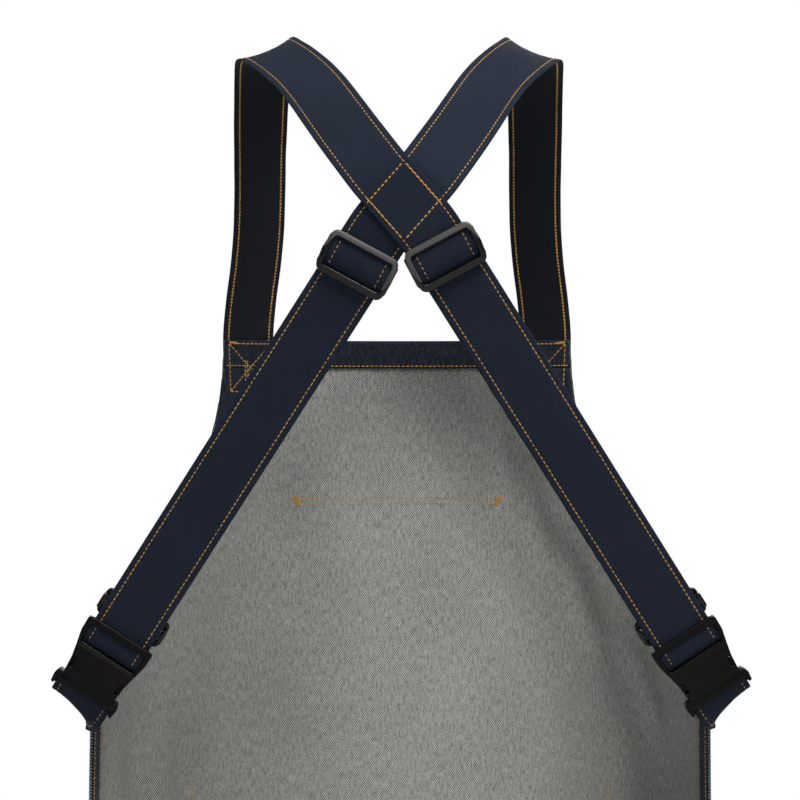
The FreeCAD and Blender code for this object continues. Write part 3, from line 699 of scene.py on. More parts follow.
def strap_stitches(sewing, centres, lateral, normal, lift, at=15.2 * MM, **how):
    """Both topstitched rows of a strap, on the side that normal points to."""
    for v in (-at, at):
        sewing.row(centres + lateral * v + normal * lift, normal, **how)


def resample(points, hints, step):
    """Even steps along a smooth line through points; hints are carried with it."""
    points, hints = np.asarray(points, float), np.asarray(hints, float)
    chord = distances(points)
    fine = np.linspace(0, chord[-1], 1200)
    line = spline_through(chord, points, fine)
    lean = np.stack([np.interp(fine, chord, hints[:, k]) for k in range(3)], 1)
    walked = distances(line)
    s = np.linspace(0, walked[-1], int(walked[-1] / step) + 2)
    return [np.stack([np.interp(s, walked, a[:, k]) for k in range(3)], 1) for a in (line, lean)]


def shoulder_line(side):
    """Line of the strap from its bib corner over the shoulder, through the crossing."""
    sign = SIDES[side]
    shift = sign * STRAP_SHIFT
    anchor = sign * (float(edge_arc(BIB_TOP_Z)[0]) - STRAP_WIDTH / 2 - 1 * MM)
    sewn = 0.3 * MM + STRAP_THICK / 2
    rows = np.linspace(BIB_TOP_Z - 36 * MM, BIB_TOP_Z, 5)
    foot, out = cloth(np.full(5, anchor), rows, sewn)
    top = foot[-1]
    flat = np.cross(out[-1], [0, 0, 1.0]) * -sign
    flat = flat if flat[0] * sign < 0 else -flat
    points = [
        *foot[::2],
        (sign * (CREST + 7.5 * MM), top[1] - 9 * MM, BIB_TOP_Z * 0.68),
        (sign * (CREST + 4.5 * MM), top[1] - 32 * MM, BIB_TOP_Z * 0.32),
        (sign * (CREST + 2 * MM), 0.027, -0.011),
        (sign * CREST, 0.0, 0.0),
        (sign * (CREST - 9 * MM), -0.034, -0.005),
        (sign * (CREST - 27 * MM), -0.071, -0.023),
        (sign * (CREST - 50 * MM), -0.119 + shift, -0.057),
        (sign * CROSS_ENTRY.x, CROSS_ENTRY.y + shift, CROSS_ENTRY.z),
    ]
    hints = [flat] * 5 + [
        (-sign * 0.92, 0.15, 0.30), (-sign * 0.92, 0.10, 0.38), (-sign * 0.88, 0.20, 0.42),
        (-sign * 0.84, 0.25, 0.48), (-sign * 0.80, 0.10, 0.60), (-sign * 0.76, 0.0, 0.65),
    ]
    return np.array(points), np.array(hints), shift


def whole_strap(side):
    """One strap's line from the bib to the far socket's bar, with its frames."""
    sign = SIDES[side]
    points, hints, shift = shoulder_line(side)
    start, along, wide, outward = run_frame(OTHER[side])
    lateral_end = wide if wide[0] * sign < 0 else -wide
    step = 2.5 * MM
    free, lean = resample(points, hints, step)
    leave = unit(start - np.array([sign * CROSS_ENTRY.x, CROSS_ENTRY.y + shift, CROSS_ENTRY.z]))
    level = free[-1] + leave * np.arange(step, np.linalg.norm(start - free[-1]), step)[:, None]
    run = start + along * np.append(np.arange(0, FOLD_AT, step), FOLD_AT)[:, None]
    centres = np.concatenate([free, level, run])
    leans = np.concatenate([lean, np.tile(hints[-1], (len(level), 1)), np.tile(lateral_end, (len(run), 1))])
    turn = np.linspace(0, math.pi, 15)[1:, None]
    radius = RETURN_N / 2
    around = start + along * (FOLD_AT + radius * np.sin(turn)) - outward * radius * (1 - np.cos(turn))
    return centres, leans, around, (start, along, lateral_end, outward)


def build_strap(side):
    """The whole strap: front, shoulder, crossing and run on one mesh, to its turn round the bar."""
    centres, leans, around, (start, along, lateral_end, outward) = whole_strap(side)
    kernel = np.ones(5) / 5
    padded = np.concatenate([centres[:1]] * 2 + [centres] + [centres[-1:]] * 2)
    soft = np.stack([np.convolve(padded[:, k], kernel, "valid") for k in range(3)], 1)
    straight = np.arange(len(centres)) >= len(centres) - 30
    centres = np.where(straight[:, None], centres, soft)
    _, lateral, normal = frames_along(centres, leans, 1)
    if normal[-1] @ outward < 0:
        normal = -normal
    far_lateral = np.tile(lateral_end, (len(around), 1))
    turned = unit(np.cross(unit(np.gradient(around, axis=0)), far_lateral))
    if turned[0] @ outward < 0:
        turned = -turned
    path = [np.concatenate(pair) for pair in ((centres, around), (lateral, far_lateral), (normal, turned))]
    crest = int(np.argmax(centres[:, 2]))
    curl = 3.2 * MM * np.exp(-((np.arange(len(path[0])) - crest) / 7.0) ** 2)
    strap = strap_mesh(f"shoulder_strap_{side}_cloth", *path, wave=0.10 * MM, curl=curl)
    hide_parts(f"shoulder_strap_{side}")

    lift = STRAP_THICK * 0.42
    above_bib = 14
    outer = Sewing()
    strap_stitches(outer, *(part[above_bib:] for part in path), lift)
    threads = outer.piece(f"strap_topstitching_{side}", GOLD, body=None)
    inner = Sewing()
    front, back = slice(above_bib, crest), slice(crest, None)
    strap_stitches(inner, centres[front], lateral[front], -normal[front], STRAP_THICK * 0.40,
                   pitch=2.3 * MM, radius=0.62 * MM, fill=1.12, sway=0.12 * MM)
    strap_stitches(inner, centres[back], lateral[back], -normal[back], lift)
    lining = inner.piece(f"strap_lining_stitching_{side}", GOLD, body=None)
    for piece in (strap, threads, lining):
        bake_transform(piece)


def build_return(side):
    """Return layer behind the lower run, from the socket's bar up to the slider."""
    start, along, wide, outward = run_frame(side)
    top = SLIDER_AT[side] - 8 * MM
    for part, low, high in (("upper", top, RETURN_SPLIT), ("lower", RETURN_SPLIT, FOLD_AT)):
        s = np.arange(low, high + 1 * MM, 2.5 * MM)
        s[-1] = high
        centres = start + along * s[:, None] - outward * RETURN_N
        lateral, normal = (np.tile(v, (len(s), 1)) for v in (wide, outward))
        strap = strap_mesh(f"strap_return_{part}_{side}", centres, lateral, normal, CLOTH_SIDES[::-1])
        sewing = Sewing()
        strap_stitches(sewing, centres, lateral, -normal, STRAP_THICK * 0.36)
        threads = sewing.piece(f"return_stitching_{part}_{side}", GOLD, body=None)
        for piece in (strap, threads):
            if part == "upper":
                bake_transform(piece)
            else:
                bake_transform(piece)
        if part == "lower":
            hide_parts(f"lower_strap_{side}")


# ---- hard pieces ----
def rounded_outline(corners, radii, steps=7):
    """Polygon with each corner rounded to its radius."""
    corners = [np.asarray(c, float) for c in corners]
    radii = [radii] * len(corners) if np.isscalar(radii) else radii
    points = []
    for i, (corner, radius) in enumerate(zip(corners, radii)):
        before, after = corners[i - 1], corners[(i + 1) % len(corners)]
        a, b = unit(before - corner), unit(after - corner)
        if radius <= 0:
            points.append(corner)
            continue
        half = math.acos(np.clip(a @ b, -1, 1)) / 2
        shortest = min(np.linalg.norm(before - corner), np.linalg.norm(after - corner))
        reach = min(radius / math.tan(half), 0.49 * shortest)
        p, q = corner + a * reach, corner + b * reach
        for t in np.linspace(0, 1, steps):
            points.append((1 - t) ** 2 * p + 2 * t * (1 - t) * corner + t * t * q)
    return points


def symmetric(right, steps=7):
    """Rounded outline that is alike on both sides, from the right side's (x, y, radius) corners."""
    left = [(-x, y, radius) for x, y, radius in reversed(right)]
    corners = left[-1:] + right + left[:-1]
    return rounded_outline([c[:2] for c in corners], [c[2] for c in corners], steps)


def on_side(outline, sign):
    """Outline given for the right side, or mirrored to the left with its turning kept."""
    return outline if sign > 0 else [(-x, y) for x, y in reversed(outline)]


def box_outline(half, low, high):
    return [(-half, low), (half, low), (half, high), (-half, high)]


def plate(outlines, low, high, bevel):
    """Bevelled plate between two outward heights, from an outline and its holes, in (wide, along)."""
    curve = bpy.data.curves.new("plate", "CURVE")
    curve.dimensions = "2D"
    curve.fill_mode = "BOTH"
    curve.extrude = (high - low) / 2 - bevel
    curve.bevel_depth = bevel
    curve.bevel_resolution = 3
    curve.offset = -bevel
    for outline in outlines:
        spline = curve.splines.new("POLY")
        spline.points.add(len(outline) - 1)
        for point, (x, y) in zip(spline.points, outline):
            point.co = (x, y, 0, 1)
        spline.use_cyclic_u = True
    obj = bpy.data.objects.new("plate", curve)
    bpy.context.scene.collection.objects.link(obj)
    bpy.context.view_layer.update()
    mesh = bpy.data.meshes.new_from_object(obj.evaluated_get(bpy.context.evaluated_depsgraph_get()))
    bpy.data.objects.remove(obj)
    verts = np.array([v.co for v in mesh.vertices], float).reshape(-1, 3)
    verts[:, 2] += (low + high) / 2
    faces = [tuple(p.vertices) for p in mesh.polygons]
    bpy.data.meshes.remove(mesh)
    return verts, faces


def bar(at, height, half, middle, thick):
    """Cross bar with a rounded section, along the wide axis."""
    count = 24
    section_yz = []
    for k in range(count):
        angle = 2 * math.pi * k / count
        y = math.copysign(abs(math.cos(angle)) ** 0.6, math.cos(angle)) * height / 2
        z = math.copysign(abs(math.sin(angle)) ** 0.6, math.sin(angle)) * thick / 2
        section_yz.append((at + y, middle + z))
    xs = np.linspace(-half, half, 9)
    verts = [(x, y, z) for x in xs for y, z in section_yz]
    faces = [f[::-1] for f in grid_faces(len(xs), count, closed=True)]
    faces += [tuple(range(count)), tuple(range((len(xs) - 1) * count, len(xs) * count))[::-1]]
    return np.array(verts), faces


def joined(parts):
    """One set of verts and faces from several."""
    verts, faces, count = [], [], 0
    for v, f in parts:
        verts.append(v)
        faces += [tuple(k + count for k in face) for face in f]
        count += len(v)
    return np.concatenate(verts), faces


def skewed(points, side, angle):
    """Points in the run's axes turned flat about their origin, towards the level."""
    wide = run_frame(side)[2]
    turn = angle if wide[2] * wide[0] < 0 else -angle
    cos, sin = math.cos(turn), math.sin(turn)
    x, y, z = np.asarray(points, float).T
    return np.stack([x * cos - y * sin, x * sin + y * cos, z], 1)


def hard_piece(name, parts, side, distance, material, body, node, bend=None, skew=0.0, lower=None):
    """Rounded hard piece in the run's axes, standing for one CAD node.

    A second material, lower, takes every face but those of the upper bar's front, which keeps the first
    material; on the slider that first material is a painted reflection of the light from above.
    """
    verts, faces = joined(parts)
    if bend is not None:
        verts = bend(verts)
    obj = mesh_object(name, on_run(skewed(verts, side, skew), side, distance), faces, [material])
    fix_normals(obj)
    if lower is not None:
        obj.data.materials.append(lower)
        _, along, _, outward = run_frame(side)
        middle = on_run([0.0, 0.0, 0.0], side, distance)
        for polygon in obj.data.polygons:
            place = np.array(polygon.center) - middle
            # the upper bar's front keeps the first material, on the slider a painted reflection of the light
            # from above
            painted_reflection_face = place @ along < -1.5 * MM and place @ outward > 0.6 * MM
            polygon.material_index = 0 if painted_reflection_face else 1
    for polygon in obj.data.polygons:
        polygon.use_smooth = True
    obj.data.set_sharp_from_angle(angle=math.radians(38))
    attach(obj, body)
    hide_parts(node)
    return obj


def fix_normals(obj):
    """Turn every face outward."""
    work = bmesh.new()
    work.from_mesh(obj.data)
    bmesh.ops.remove_doubles(work, verts=work.verts, dist=1e-6)
    bmesh.ops.recalc_face_normals(work, faces=work.faces)
    work.to_mesh(obj.data)
    work.free()


FRONT = BAR_FRONT + FRONT_BAR_THICK
BAR_MIDDLE = -(BAR_FRONT + BAR_THICK / 2)


def barrel(half, high, bow, cut):
    """Frame outline whose sides bow outward; cut is the corners' radius."""
    return symmetric([(half, -high, cut), (half + bow, 0, 14 * MM), (half, high, cut)], 9)


def tri_glide_parts(height, upper=3.6 * MM, lower=4.9 * MM, corner=5.5 * MM):
    """Slider frame with bowed sides, a thick lower bar and a centre bar behind the strap."""
    high = height / 2
    outer = barrel(RAIL_OUTER - 1.3 * MM, high, 1.3 * MM, corner)
    hole = rounded_outline(box_outline(RAIL_INNER - 0.5 * MM, -high + upper, high - lower), 2.6 * MM)
    parts = [plate([outer, hole], BAR_FRONT, FRONT, 1.1 * MM)]
    reach = high - 4.0 * MM
    inside, outside = RAIL_INNER, RAIL_OUTER - 0.4 * MM
    for left, right in ((-outside, -inside), (inside, outside)):
        rail = rounded_outline([(left, -reach), (right, -reach), (right, reach), (left, reach)], 1.6 * MM)
        parts.append(plate([rail], -(BAR_FRONT + BAR_THICK), BAR_FRONT + 0.8 * MM, 0.8 * MM))
    return [*parts, bar(0, 4 * MM, RAIL_INNER + 1.5 * MM, BAR_MIDDLE, BAR_THICK)]


def bowed(height):
    """Crown over the slider's front: the upper bar leans up, the lower bar down and outward."""
    def bend(verts):
        verts = verts.copy()
        front = verts[:, 2] > 0
        across = 1 - (verts[:, 0] / RAIL_OUTER) ** 2
        lean = 1 - (verts[:, 1] / (height / 2)) ** 2
        verts[:, 2] += front * (0.7 * MM * across + 2.4 * MM * lean)
        lower = front & (verts[:, 1] > height / 2 - 6 * MM)
        verts[:, 1] += lower * 0.9 * MM * across
        return verts
    return bend


SLIDER_SKEW = math.radians(4.5)


def build_sliders(side):
    """Slider below the crossing, keeper above the buckle, and the strap's turns in both windows."""
    at = SLIDER_AT[side]
    # the slider's upper bar front takes the painted reflection material, and every other face is gloss black
    hard_piece(f"strap_slider_{side}_frame", tri_glide_parts(SLIDER_HEIGHT), side, at, SLIDER,
               f"slider_{side}", f"strap_slider_{side}",
               bowed(SLIDER_HEIGHT), SLIDER_SKEW, SLIDER_BLACK)
    keeper = tri_glide_parts(KEEPER_HEIGHT, 3 * MM, 3 * MM, 4 * MM)
    keeper = [(v * (1, 1, -1) - (0, 0, RETURN_N), f) for v, f in keeper]
    hard_piece(f"keeper_slider_{side}_frame", keeper, side, SOCKET_AT - KEEPER_BACK, SLIDER_BLACK,
               f"keeper_{side}", f"keeper_slider_{side}")
    build_loop(f"slider_loop_{side}", side, at, (-10.8 * MM, 9.6 * MM), f"slider_{side}",
               3.3 * MM, SLIDER_SKEW)
    build_loop(f"socket_loop_{side}", side, SOCKET_AT, (0.4 * MM, 14.6 * MM), f"socket_{side}", 1.9 * MM)


def build_loop(name, side, at, reach, body, height, skew=0.0):
    """Strap bulging over the bar in a slider's or buckle's window, with its stitching."""
    count = 23
    bulge = 0.2 * MM + height * np.sin(np.linspace(0, 1, count) * math.pi) ** 0.55
    line = np.stack([np.zeros(count), np.linspace(*reach, count), bulge], 1)
    centres = on_run(skewed(line, side, skew), side, at)
    lateral = on_run(skewed(line + [1.0, 0, 0], side, skew), side, at) - centres
    normal = unit(np.cross(unit(np.gradient(centres, axis=0)), lateral))
    normal *= np.sign(normal @ run_frame(side)[3])[:, None]
    loop = strap_mesh(name, centres, lateral, normal, thick=1.5 * MM, width=39 * MM)
    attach(loop, body)
    sewing = Sewing()
    strap_stitches(sewing, centres, lateral, normal, 0.55 * MM)
    sewing.piece(f"{name}_stitching", GOLD, body)


# ---- buckles: heights are measured down the run from the socket's upper edge ----
SHELL_START, SHELL_END = 17 * MM, 38 * MM
SHELL_FRONT, SHELL_BACK = 3.6 * MM, -5.4 * MM
SHELL_HALF = 17.8 * MM
SHELL_WAIST = (18.6 * MM, 27 * MM)
SOCKET_TOP = (22.6 * MM, -1.8 * MM)
SOCKET_SIDE = (22.4 * MM, 9 * MM)
SOCKET_BAR_AT = 11 * MM
SLOT = [(15.3 * MM, 25.6 * MM), (17.9 * MM, 25.0 * MM), (17.3 * MM, 32.6 * MM), (15.0 * MM, 32.8 * MM)]
RAIL = [(19.6 * MM, 0.4 * MM), (22.7 * MM, 0.4 * MM), (22.5 * MM, 9 * MM),
        (20.6 * MM, SHELL_START + 1 * MM), (18.6 * MM, SHELL_START + 1 * MM)]
WALL = [(16.2 * MM, 33.4 * MM), (SHELL_HALF + 0.2 * MM, 33.4 * MM),
        (SHELL_HALF - 0.2 * MM, SHELL_END), (15.4 * MM, SHELL_END)]
BASE_START, BASE_END, LOBE_END = 38.4 * MM, 41.8 * MM, 47.4 * MM
LOBE_HALF = 21.6 * MM
TAB_BAR_AT = 46 * MM
ARM = [(11.3, 25.3), (13.7, 23.3), (15.4, 25.1), (17.6, 28.5),
       (16.3, 32.7), (14.3, 32.7), (14.3, 37.9), (11.3, 37.9)]


def build_socket(side):
    """Buckle socket: strap window with two bars, then a flat shell with an oval slot at each side."""
    outer = symmetric([
        (*SOCKET_TOP, 4.5 * MM), (*SOCKET_SIDE, 9 * MM), (20.4 * MM, SHELL_START + 1 * MM, 0.6 * MM),
    ], 9)
    window = symmetric([(19.4 * MM, 2.3 * MM, 2.0 * MM), (19.0 * MM, 15.6 * MM, 2.0 * MM)])
    shell = symmetric([
        (20.6 * MM, SHELL_START, 1.4 * MM), (*SHELL_WAIST, 14 * MM), (SHELL_HALF, SHELL_END, 0.6 * MM),
    ], 9)
    slots = [rounded_outline(on_side(SLOT, sign), 1.2 * MM) for sign in (-1, 1)]
    rails = [rounded_outline(on_side(RAIL, sign), 1.0 * MM) for sign in (-1, 1)]
    walls = [rounded_outline(on_side(WALL, sign), 0.5 * MM) for sign in (-1, 1)]
    floor = rounded_outline(box_outline(19.4 * MM, 15.4 * MM, SHELL_START + 1.5 * MM), 0.4 * MM)
    collar = rounded_outline(box_outline(20.0 * MM, SHELL_START + 0.4 * MM, SHELL_START + 2.6 * MM), 0.5 * MM)
    parts = [
        plate([outer, window], BAR_FRONT, FRONT + 0.5 * MM, 1.1 * MM),
        *(plate([rail], -(BAR_FRONT + BAR_THICK), BAR_FRONT + 0.8 * MM, 0.7 * MM) for rail in rails),
        bar(SOCKET_BAR_AT, 4 * MM, RAIL_INNER + 1.5 * MM, BAR_MIDDLE, BAR_THICK),
        plate([shell, *slots], 1.45 * MM, SHELL_FRONT, 0.8 * MM),
        plate([shell], SHELL_BACK, -3.25 * MM, 0.8 * MM),
        plate([floor], -4.8 * MM, -1.6 * MM, 0.3 * MM),
        plate([collar], SHELL_BACK + 0.6 * MM, SHELL_FRONT - 0.4 * MM, 0.3 * MM),
        *(plate([wall], SHELL_BACK + 0.6 * MM, SHELL_FRONT - 0.6 * MM, 0.3 * MM) for wall in walls),
        bar(SHELL_START + 1.4 * MM, 2.6 * MM, 20.0 * MM, SHELL_FRONT - 0.1 * MM, 1.9 * MM),
    ]
    hard_piece(f"buckle_socket_{side}_shell", parts, side, SOCKET_AT, BUCKLE,
               f"socket_{side}", f"buckle_socket_{side}")


def build_plug(side):
    """Buckle plug: base with rounded lobes, tongue, the bar that holds the side tab, and two arms."""
    base = symmetric([
        (20.6 * MM, BASE_START - 0.6 * MM, 1.8 * MM), (22.3 * MM, BASE_START + 3.4 * MM, 2.6 * MM),
        (LOBE_HALF, LOBE_END, 1.2 * MM), (RAIL_INNER, LOBE_END, 0.4 * MM), (RAIL_INNER, BASE_END, 0.6 * MM),
    ])
    lip = rounded_outline(box_outline(20 * MM, 39.5 * MM, 43.6 * MM), 0.8 * MM)
    tongue = rounded_outline(box_outline(4 * MM, 24 * MM, 39 * MM), [1.5 * MM, 1.5 * MM, 0, 0])
    parts = [
        plate([base], -4.6 * MM, 3.1 * MM, 1.0 * MM),
        bar(TAB_BAR_AT, 3.6 * MM, RAIL_INNER + 1 * MM, BAR_MIDDLE, BAR_THICK),
        plate([lip], 1.2 * MM, 3.1 * MM, 0.8 * MM),
        plate([tongue], -2.8 * MM, 1.0 * MM, 0.4 * MM),
    ]
    hard_piece(f"buckle_plug_{side}_base", parts, side, SOCKET_AT, BUCKLE,
               "root", f"buckle_plug_{side}")
    for edge, way in (("inner", -1), ("outer", 1)):
        sign = way * SIDES[side] * (1 if run_frame(side)[2][0] > 0 else -1)
        outline = rounded_outline(on_side([(x * MM, y * MM) for x, y in ARM], sign), 0.7 * MM)
        arm = plate([outline], -2.9 * MM, 1.1 * MM, 0.45 * MM)
        hard_piece(f"buckle_prong_{side}_{edge}_arm", [arm], side, SOCKET_AT, BUCKLE,
                   f"prong_{side}_{edge}", f"buckle_prong_{side}_{edge}")


# ---- side tabs ----
def build_tab(side):
    """Folded strap from the plug's bar round to the outside of the apron's side."""
    sign = SIDES[side]
    start, along, wide, outward = run_frame(side)
    inner = wide if wide[0] * sign < 0 else -wide
    fold = 45.5 * MM
    thick = 2 * STRAP_THICK
    rise = 0.8 * MM + thick / 2
    reaches = np.array([3.0, 16.5, 30.0]) * MM
    sewn, _ = cloth(sign * (SIDE_ARC - reaches), CORNER_Z - 20 * MM - 0.25 * reaches, rise)
    front = start + along * (SOCKET_AT + fold)
    flat = unit(sewn[2] - sewn[0])
    down = np.array([0, 0, -1.0])
    upright = unit(down - flat * (down @ flat))

    def edge(way, straight, bend, sink):
        """One edge of the tab: along the run, round a bend and onto the side of the apron."""
        foot = front - along * 3 * MM + inner * way * STRAP_WIDTH / 2
        last = foot + along * (straight + 3 * MM) - outward * sink
        arc = [last + along * bend * math.sin(t) - outward * bend * (1 - math.cos(t))
               for t in (0, 0.52, 1.05, 1.57)]
        on_side_of_apron = sewn + upright * way * STRAP_WIDTH / 2
        return [foot, (foot + last) / 2, *arc, *on_side_of_apron]

    upper = np.array(edge(-1, 0.8 * MM, 3.0 * MM, 1.0 * MM))
    lower = np.array(edge(1, 10.5 * MM, 5.0 * MM, 2.5 * MM))
    centres, lean = resample((upper + lower) / 2, unit(lower - upper), 1.5 * MM)
    tangent, lateral, normal = frames_along(centres, lean, 1)
    if normal[0] @ outward < 0:
        normal = -normal
    share = np.linspace(0, 1, len(centres))
    layers = STRAP_THICK + (thick - STRAP_THICK) * smooth(0.12, 0.35, share)
    around = [
        front - outward * RETURN_N / 2 + (outward * math.cos(t) - along * math.sin(t)) * RETURN_N / 2
        for t in np.linspace(math.pi, 0, 13)[:-1]
    ]
    back = [front + along * 3.3 * MM - outward * (RETURN_N - 1.5 * MM),
            front + along * 1.6 * MM - outward * (RETURN_N - 0.2 * MM)]
    loop_points, loop_hints = resample([*back, *around, front + along * 1 * MM], [inner] * 15, 1.0 * MM)
    _, loop_lateral, loop_normal = frames_along(loop_points, loop_hints, 1)
    if loop_normal[-1] @ outward < 0:
        loop_normal = -loop_normal
    loop = strap_mesh(f"side_tab_{side}_fold", loop_points, loop_lateral, loop_normal)
    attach(loop, "root")
    tab = strap_mesh(f"side_tab_{side}_cloth", centres, lateral, normal, thick=layers)
    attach(tab, "root")
    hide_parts(f"side_tab_{side}")
    sewing = Sewing()
    seam_height = layers / 2 - STRAP_THICK * 0.14
    strap_stitches(sewing, centres + normal * seam_height[:, None], lateral, normal, 0.0)
    first, last = centres[-16], centres[-1] - tangent[-1] * 2 * MM
    half = lateral[-1] * 15 * MM
    corners = [first - half, last - half, last + half, first + half]
    for a, b in ((0, 2), (1, 3), (1, 2), (0, 3)):
        t = np.linspace(0, 1, 24)[:, None]
        line = corners[a] * (1 - t) + corners[b] * t + normal[-1] * (thick / 2 - 0.1 * MM)
        sewing.row(line, np.tile(normal[-1], (24, 1)))
    sewing.piece(f"side_tab_stitching_{side}", GOLD)


# ---- the apron's cloth ----
IN_FACE = -CLOTH_THICK
HEM_OUT = IN_FACE - 0.15 * MM
HEM_IN = HEM_OUT - HEM_THICK


def build_panel():
    """The apron's body and its cut area."""
    rows_up = np.linspace(BIB_TOP_Z, CORNER_Z, 90)
    rows_down = np.linspace(CORNER_Z, BOTTOM_Z, 150)[1:]
    zs = np.concatenate([rows_up, rows_down])
    edge = edge_arc(zs)
    share = np.linspace(-1, 1, 181)
    arcs = edge[:, None] * share
    zz = np.repeat(zs[:, None], len(share), 1)
    panel = layer("apron_panel_cloth", arcs, zz, 0.0, IN_FACE, [OUTER_TWILL, INNER_TWILL, OUTER_TWILL])
    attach(panel, "root")
    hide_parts("apron_panel")
    area = float(np.sum((edge[1:] + edge[:-1]) * -np.diff(zs)))
    return panel, area


def hem_piece(name, node, arcs, zs):
    """One turned-in strip of denim on the inside of the panel."""
    hem = layer(name, arcs, zs, HEM_OUT, HEM_IN, [HEM_TWILL, HEM_TWILL])
    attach(hem, "root")
    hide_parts(node)
    return hem


def build_hems():
    """Turned-in edges: bib top, both armholes, both sides and the bottom."""
    hems = [hem_piece("bib_top_hem_cloth", "bib_top_hem", *cloth_grid(
        BIB_TOP_Z, BIB_TOP_Z - TOP_HEM_WIDTH, lambda z: (-edge_arc(z), edge_arc(z)), 9, 121))]
    for side, sign in SIDES.items():
        def facing(z):
            return sign * (edge_arc(z) - FACING_WIDTH), sign * edge_arc(z)

        def hem(z):
            edge = np.full_like(z, SIDE_ARC)
            return sign * (edge - SIDE_HEM_WIDTH), sign * edge

        top = BIB_TOP_Z - TOP_HEM_WIDTH - 0.3 * MM
        bottom = BOTTOM_Z + BOTTOM_HEM_WIDTH + 0.3 * MM
        hems.append(hem_piece(f"armhole_facing_{side}_cloth", f"armhole_facing_{side}",
                              *cloth_grid(top, CORNER_Z, facing, 90, 11)))
        hems.append(hem_piece(f"side_hem_{side}_cloth", f"side_hem_{side}",
                              *cloth_grid(CORNER_Z - 0.3 * MM, bottom, hem, 150, 9)))
    hems.append(hem_piece("bottom_hem_cloth", "bottom_hem", *cloth_grid(
        BOTTOM_Z + BOTTOM_HEM_WIDTH, BOTTOM_Z, lambda z: (-edge_arc(z), edge_arc(z)), 9, 161)))
    return hems


def pocket_reach(z):
    """Half width of the pocket at heights z."""
    share = np.clip((POCKET_TOP_Z - np.asarray(z, float)) / POCKET_MOUTH_DROP, 0, 1)
    return POCKET_TOP_HALF + (POCKET_HALF - POCKET_TOP_HALF) * share


def build_pocket():
    """Wide front pocket with a slanted hand opening on each side."""
    bottom = POCKET_TOP_Z - POCKET_DEPTH
    arcs, zs = cloth_grid(POCKET_TOP_Z, bottom, lambda z: (-pocket_reach(z), pocket_reach(z)), 121, 101)

    def puff(a, z):
        edge = pocket_reach(z) - np.abs(a)
        inside = smooth(0, 0.05, edge) * smooth(0, 0.05, POCKET_TOP_Z - z) * smooth(0, 0.05, z - bottom)
        return 3.0 * MM * inside

    pocket = layer("front_pocket_cloth", arcs, zs, POCKET_LIFT + CLOTH_THICK, POCKET_LIFT,
                   [OUTER_TWILL, INNER_TWILL], puff)
    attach(pocket, "root")
    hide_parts("front_pocket")
    return pocket


def along_edge(inset, high, low, sign):
    """Path along the panel's edge, a distance inside it."""
    z = np.linspace(high, low, 160)
    return np.stack([sign * (edge_arc(z) - inset), z], 1)


def edge_rows():
    """Paths of the topstitched rows along the panel's own edges."""
    bib_row = BIB_TOP_Z - TOP_HEM_WIDTH + 1.6 * MM
    span = float(edge_arc(bib_row)[0]) - 1 * MM
    rows = [[(-span, bib_row), (span, bib_row)]]
    for sign in (-1, 1):
        rows.append(along_edge(FACING_WIDTH - 2 * MM, BIB_TOP_Z - TOP_HEM_WIDTH, CORNER_Z, sign))
        for inset in (3 * MM, SIDE_HEM_WIDTH - 2.5 * MM):
            arc = sign * (SIDE_ARC - inset)
            rows.append([(arc, CORNER_Z), (arc, BOTTOM_Z + 1 * MM)])
    for up in (3 * MM, BOTTOM_HEM_WIDTH - 2.5 * MM):
        rows.append([(-SIDE_ARC, BOTTOM_Z + up), (SIDE_ARC, BOTTOM_Z + up)])
    return rows


def pocket_rows(outside, inside):
    """Double rows round the pocket; its mouths and top edge go through the pocket alone."""
    lift = POCKET_LIFT + CLOTH_THICK + 0.1 * MM
    bottom = POCKET_TOP_Z - POCKET_DEPTH
    mouth_end = POCKET_TOP_Z - POCKET_MOUTH_DROP
    for inset in (2.6 * MM, 8.6 * MM):
        top, low, half = POCKET_TOP_Z - inset, bottom + inset, POCKET_HALF - inset
        sides = [[(s * half, mouth_end), (s * half, low)] for s in (-1, 1)]
        for path in (*sides, [(-half, low), (half, low)]):
            row_on_cloth(outside, path, lift)
            row_on_cloth(inside, path, IN_FACE - 0.05 * MM, inside=True)
        row_on_cloth(outside, [(-POCKET_TOP_HALF, top), (POCKET_TOP_HALF, top)], lift)
        for s in (-1, 1):
            mouth = [(s * (POCKET_TOP_HALF - inset * 1.1), top), (s * (POCKET_HALF - inset * 1.1), mouth_end)]
            row_on_cloth(outside, mouth, lift + 0.4 * MM)


def build_cloth_stitching():
    """All thread in the cloth: gold rows seen on its outside and inside, and wrapped raw edges."""
    outside, inside, serge = Sewing(), Sewing(), Sewing()
    for path in edge_rows():
        row_on_cloth(outside, path, 0.1 * MM)
        row_on_cloth(inside, path, HEM_IN - 0.08 * MM, inside=True)
    pocket_rows(outside, inside)
    chest(inside)
    anchors(outside, inside)
    for sign in (-1, 1):
        overlock(serge, along_edge(FACING_WIDTH, BIB_TOP_Z - 50 * MM, CORNER_Z, sign), -sign)
        heights = np.linspace(CORNER_Z, BOTTOM_Z + 0.02, 200)
        overlock(serge, np.array([(sign * (SIDE_ARC - SIDE_HEM_WIDTH), z) for z in heights]), -sign)
    for sign in (-1, 1):
        rope(serge, np.array([(sign * SIDE_ARC, z) for z in np.linspace(CORNER_Z - 2 * MM, BOTTOM_Z, 320)]))
    return [outside.piece("topstitching_outside", GOLD), inside.piece("topstitching_inside", GOLD),
            serge.piece("overlocked_edges", SERGE)]


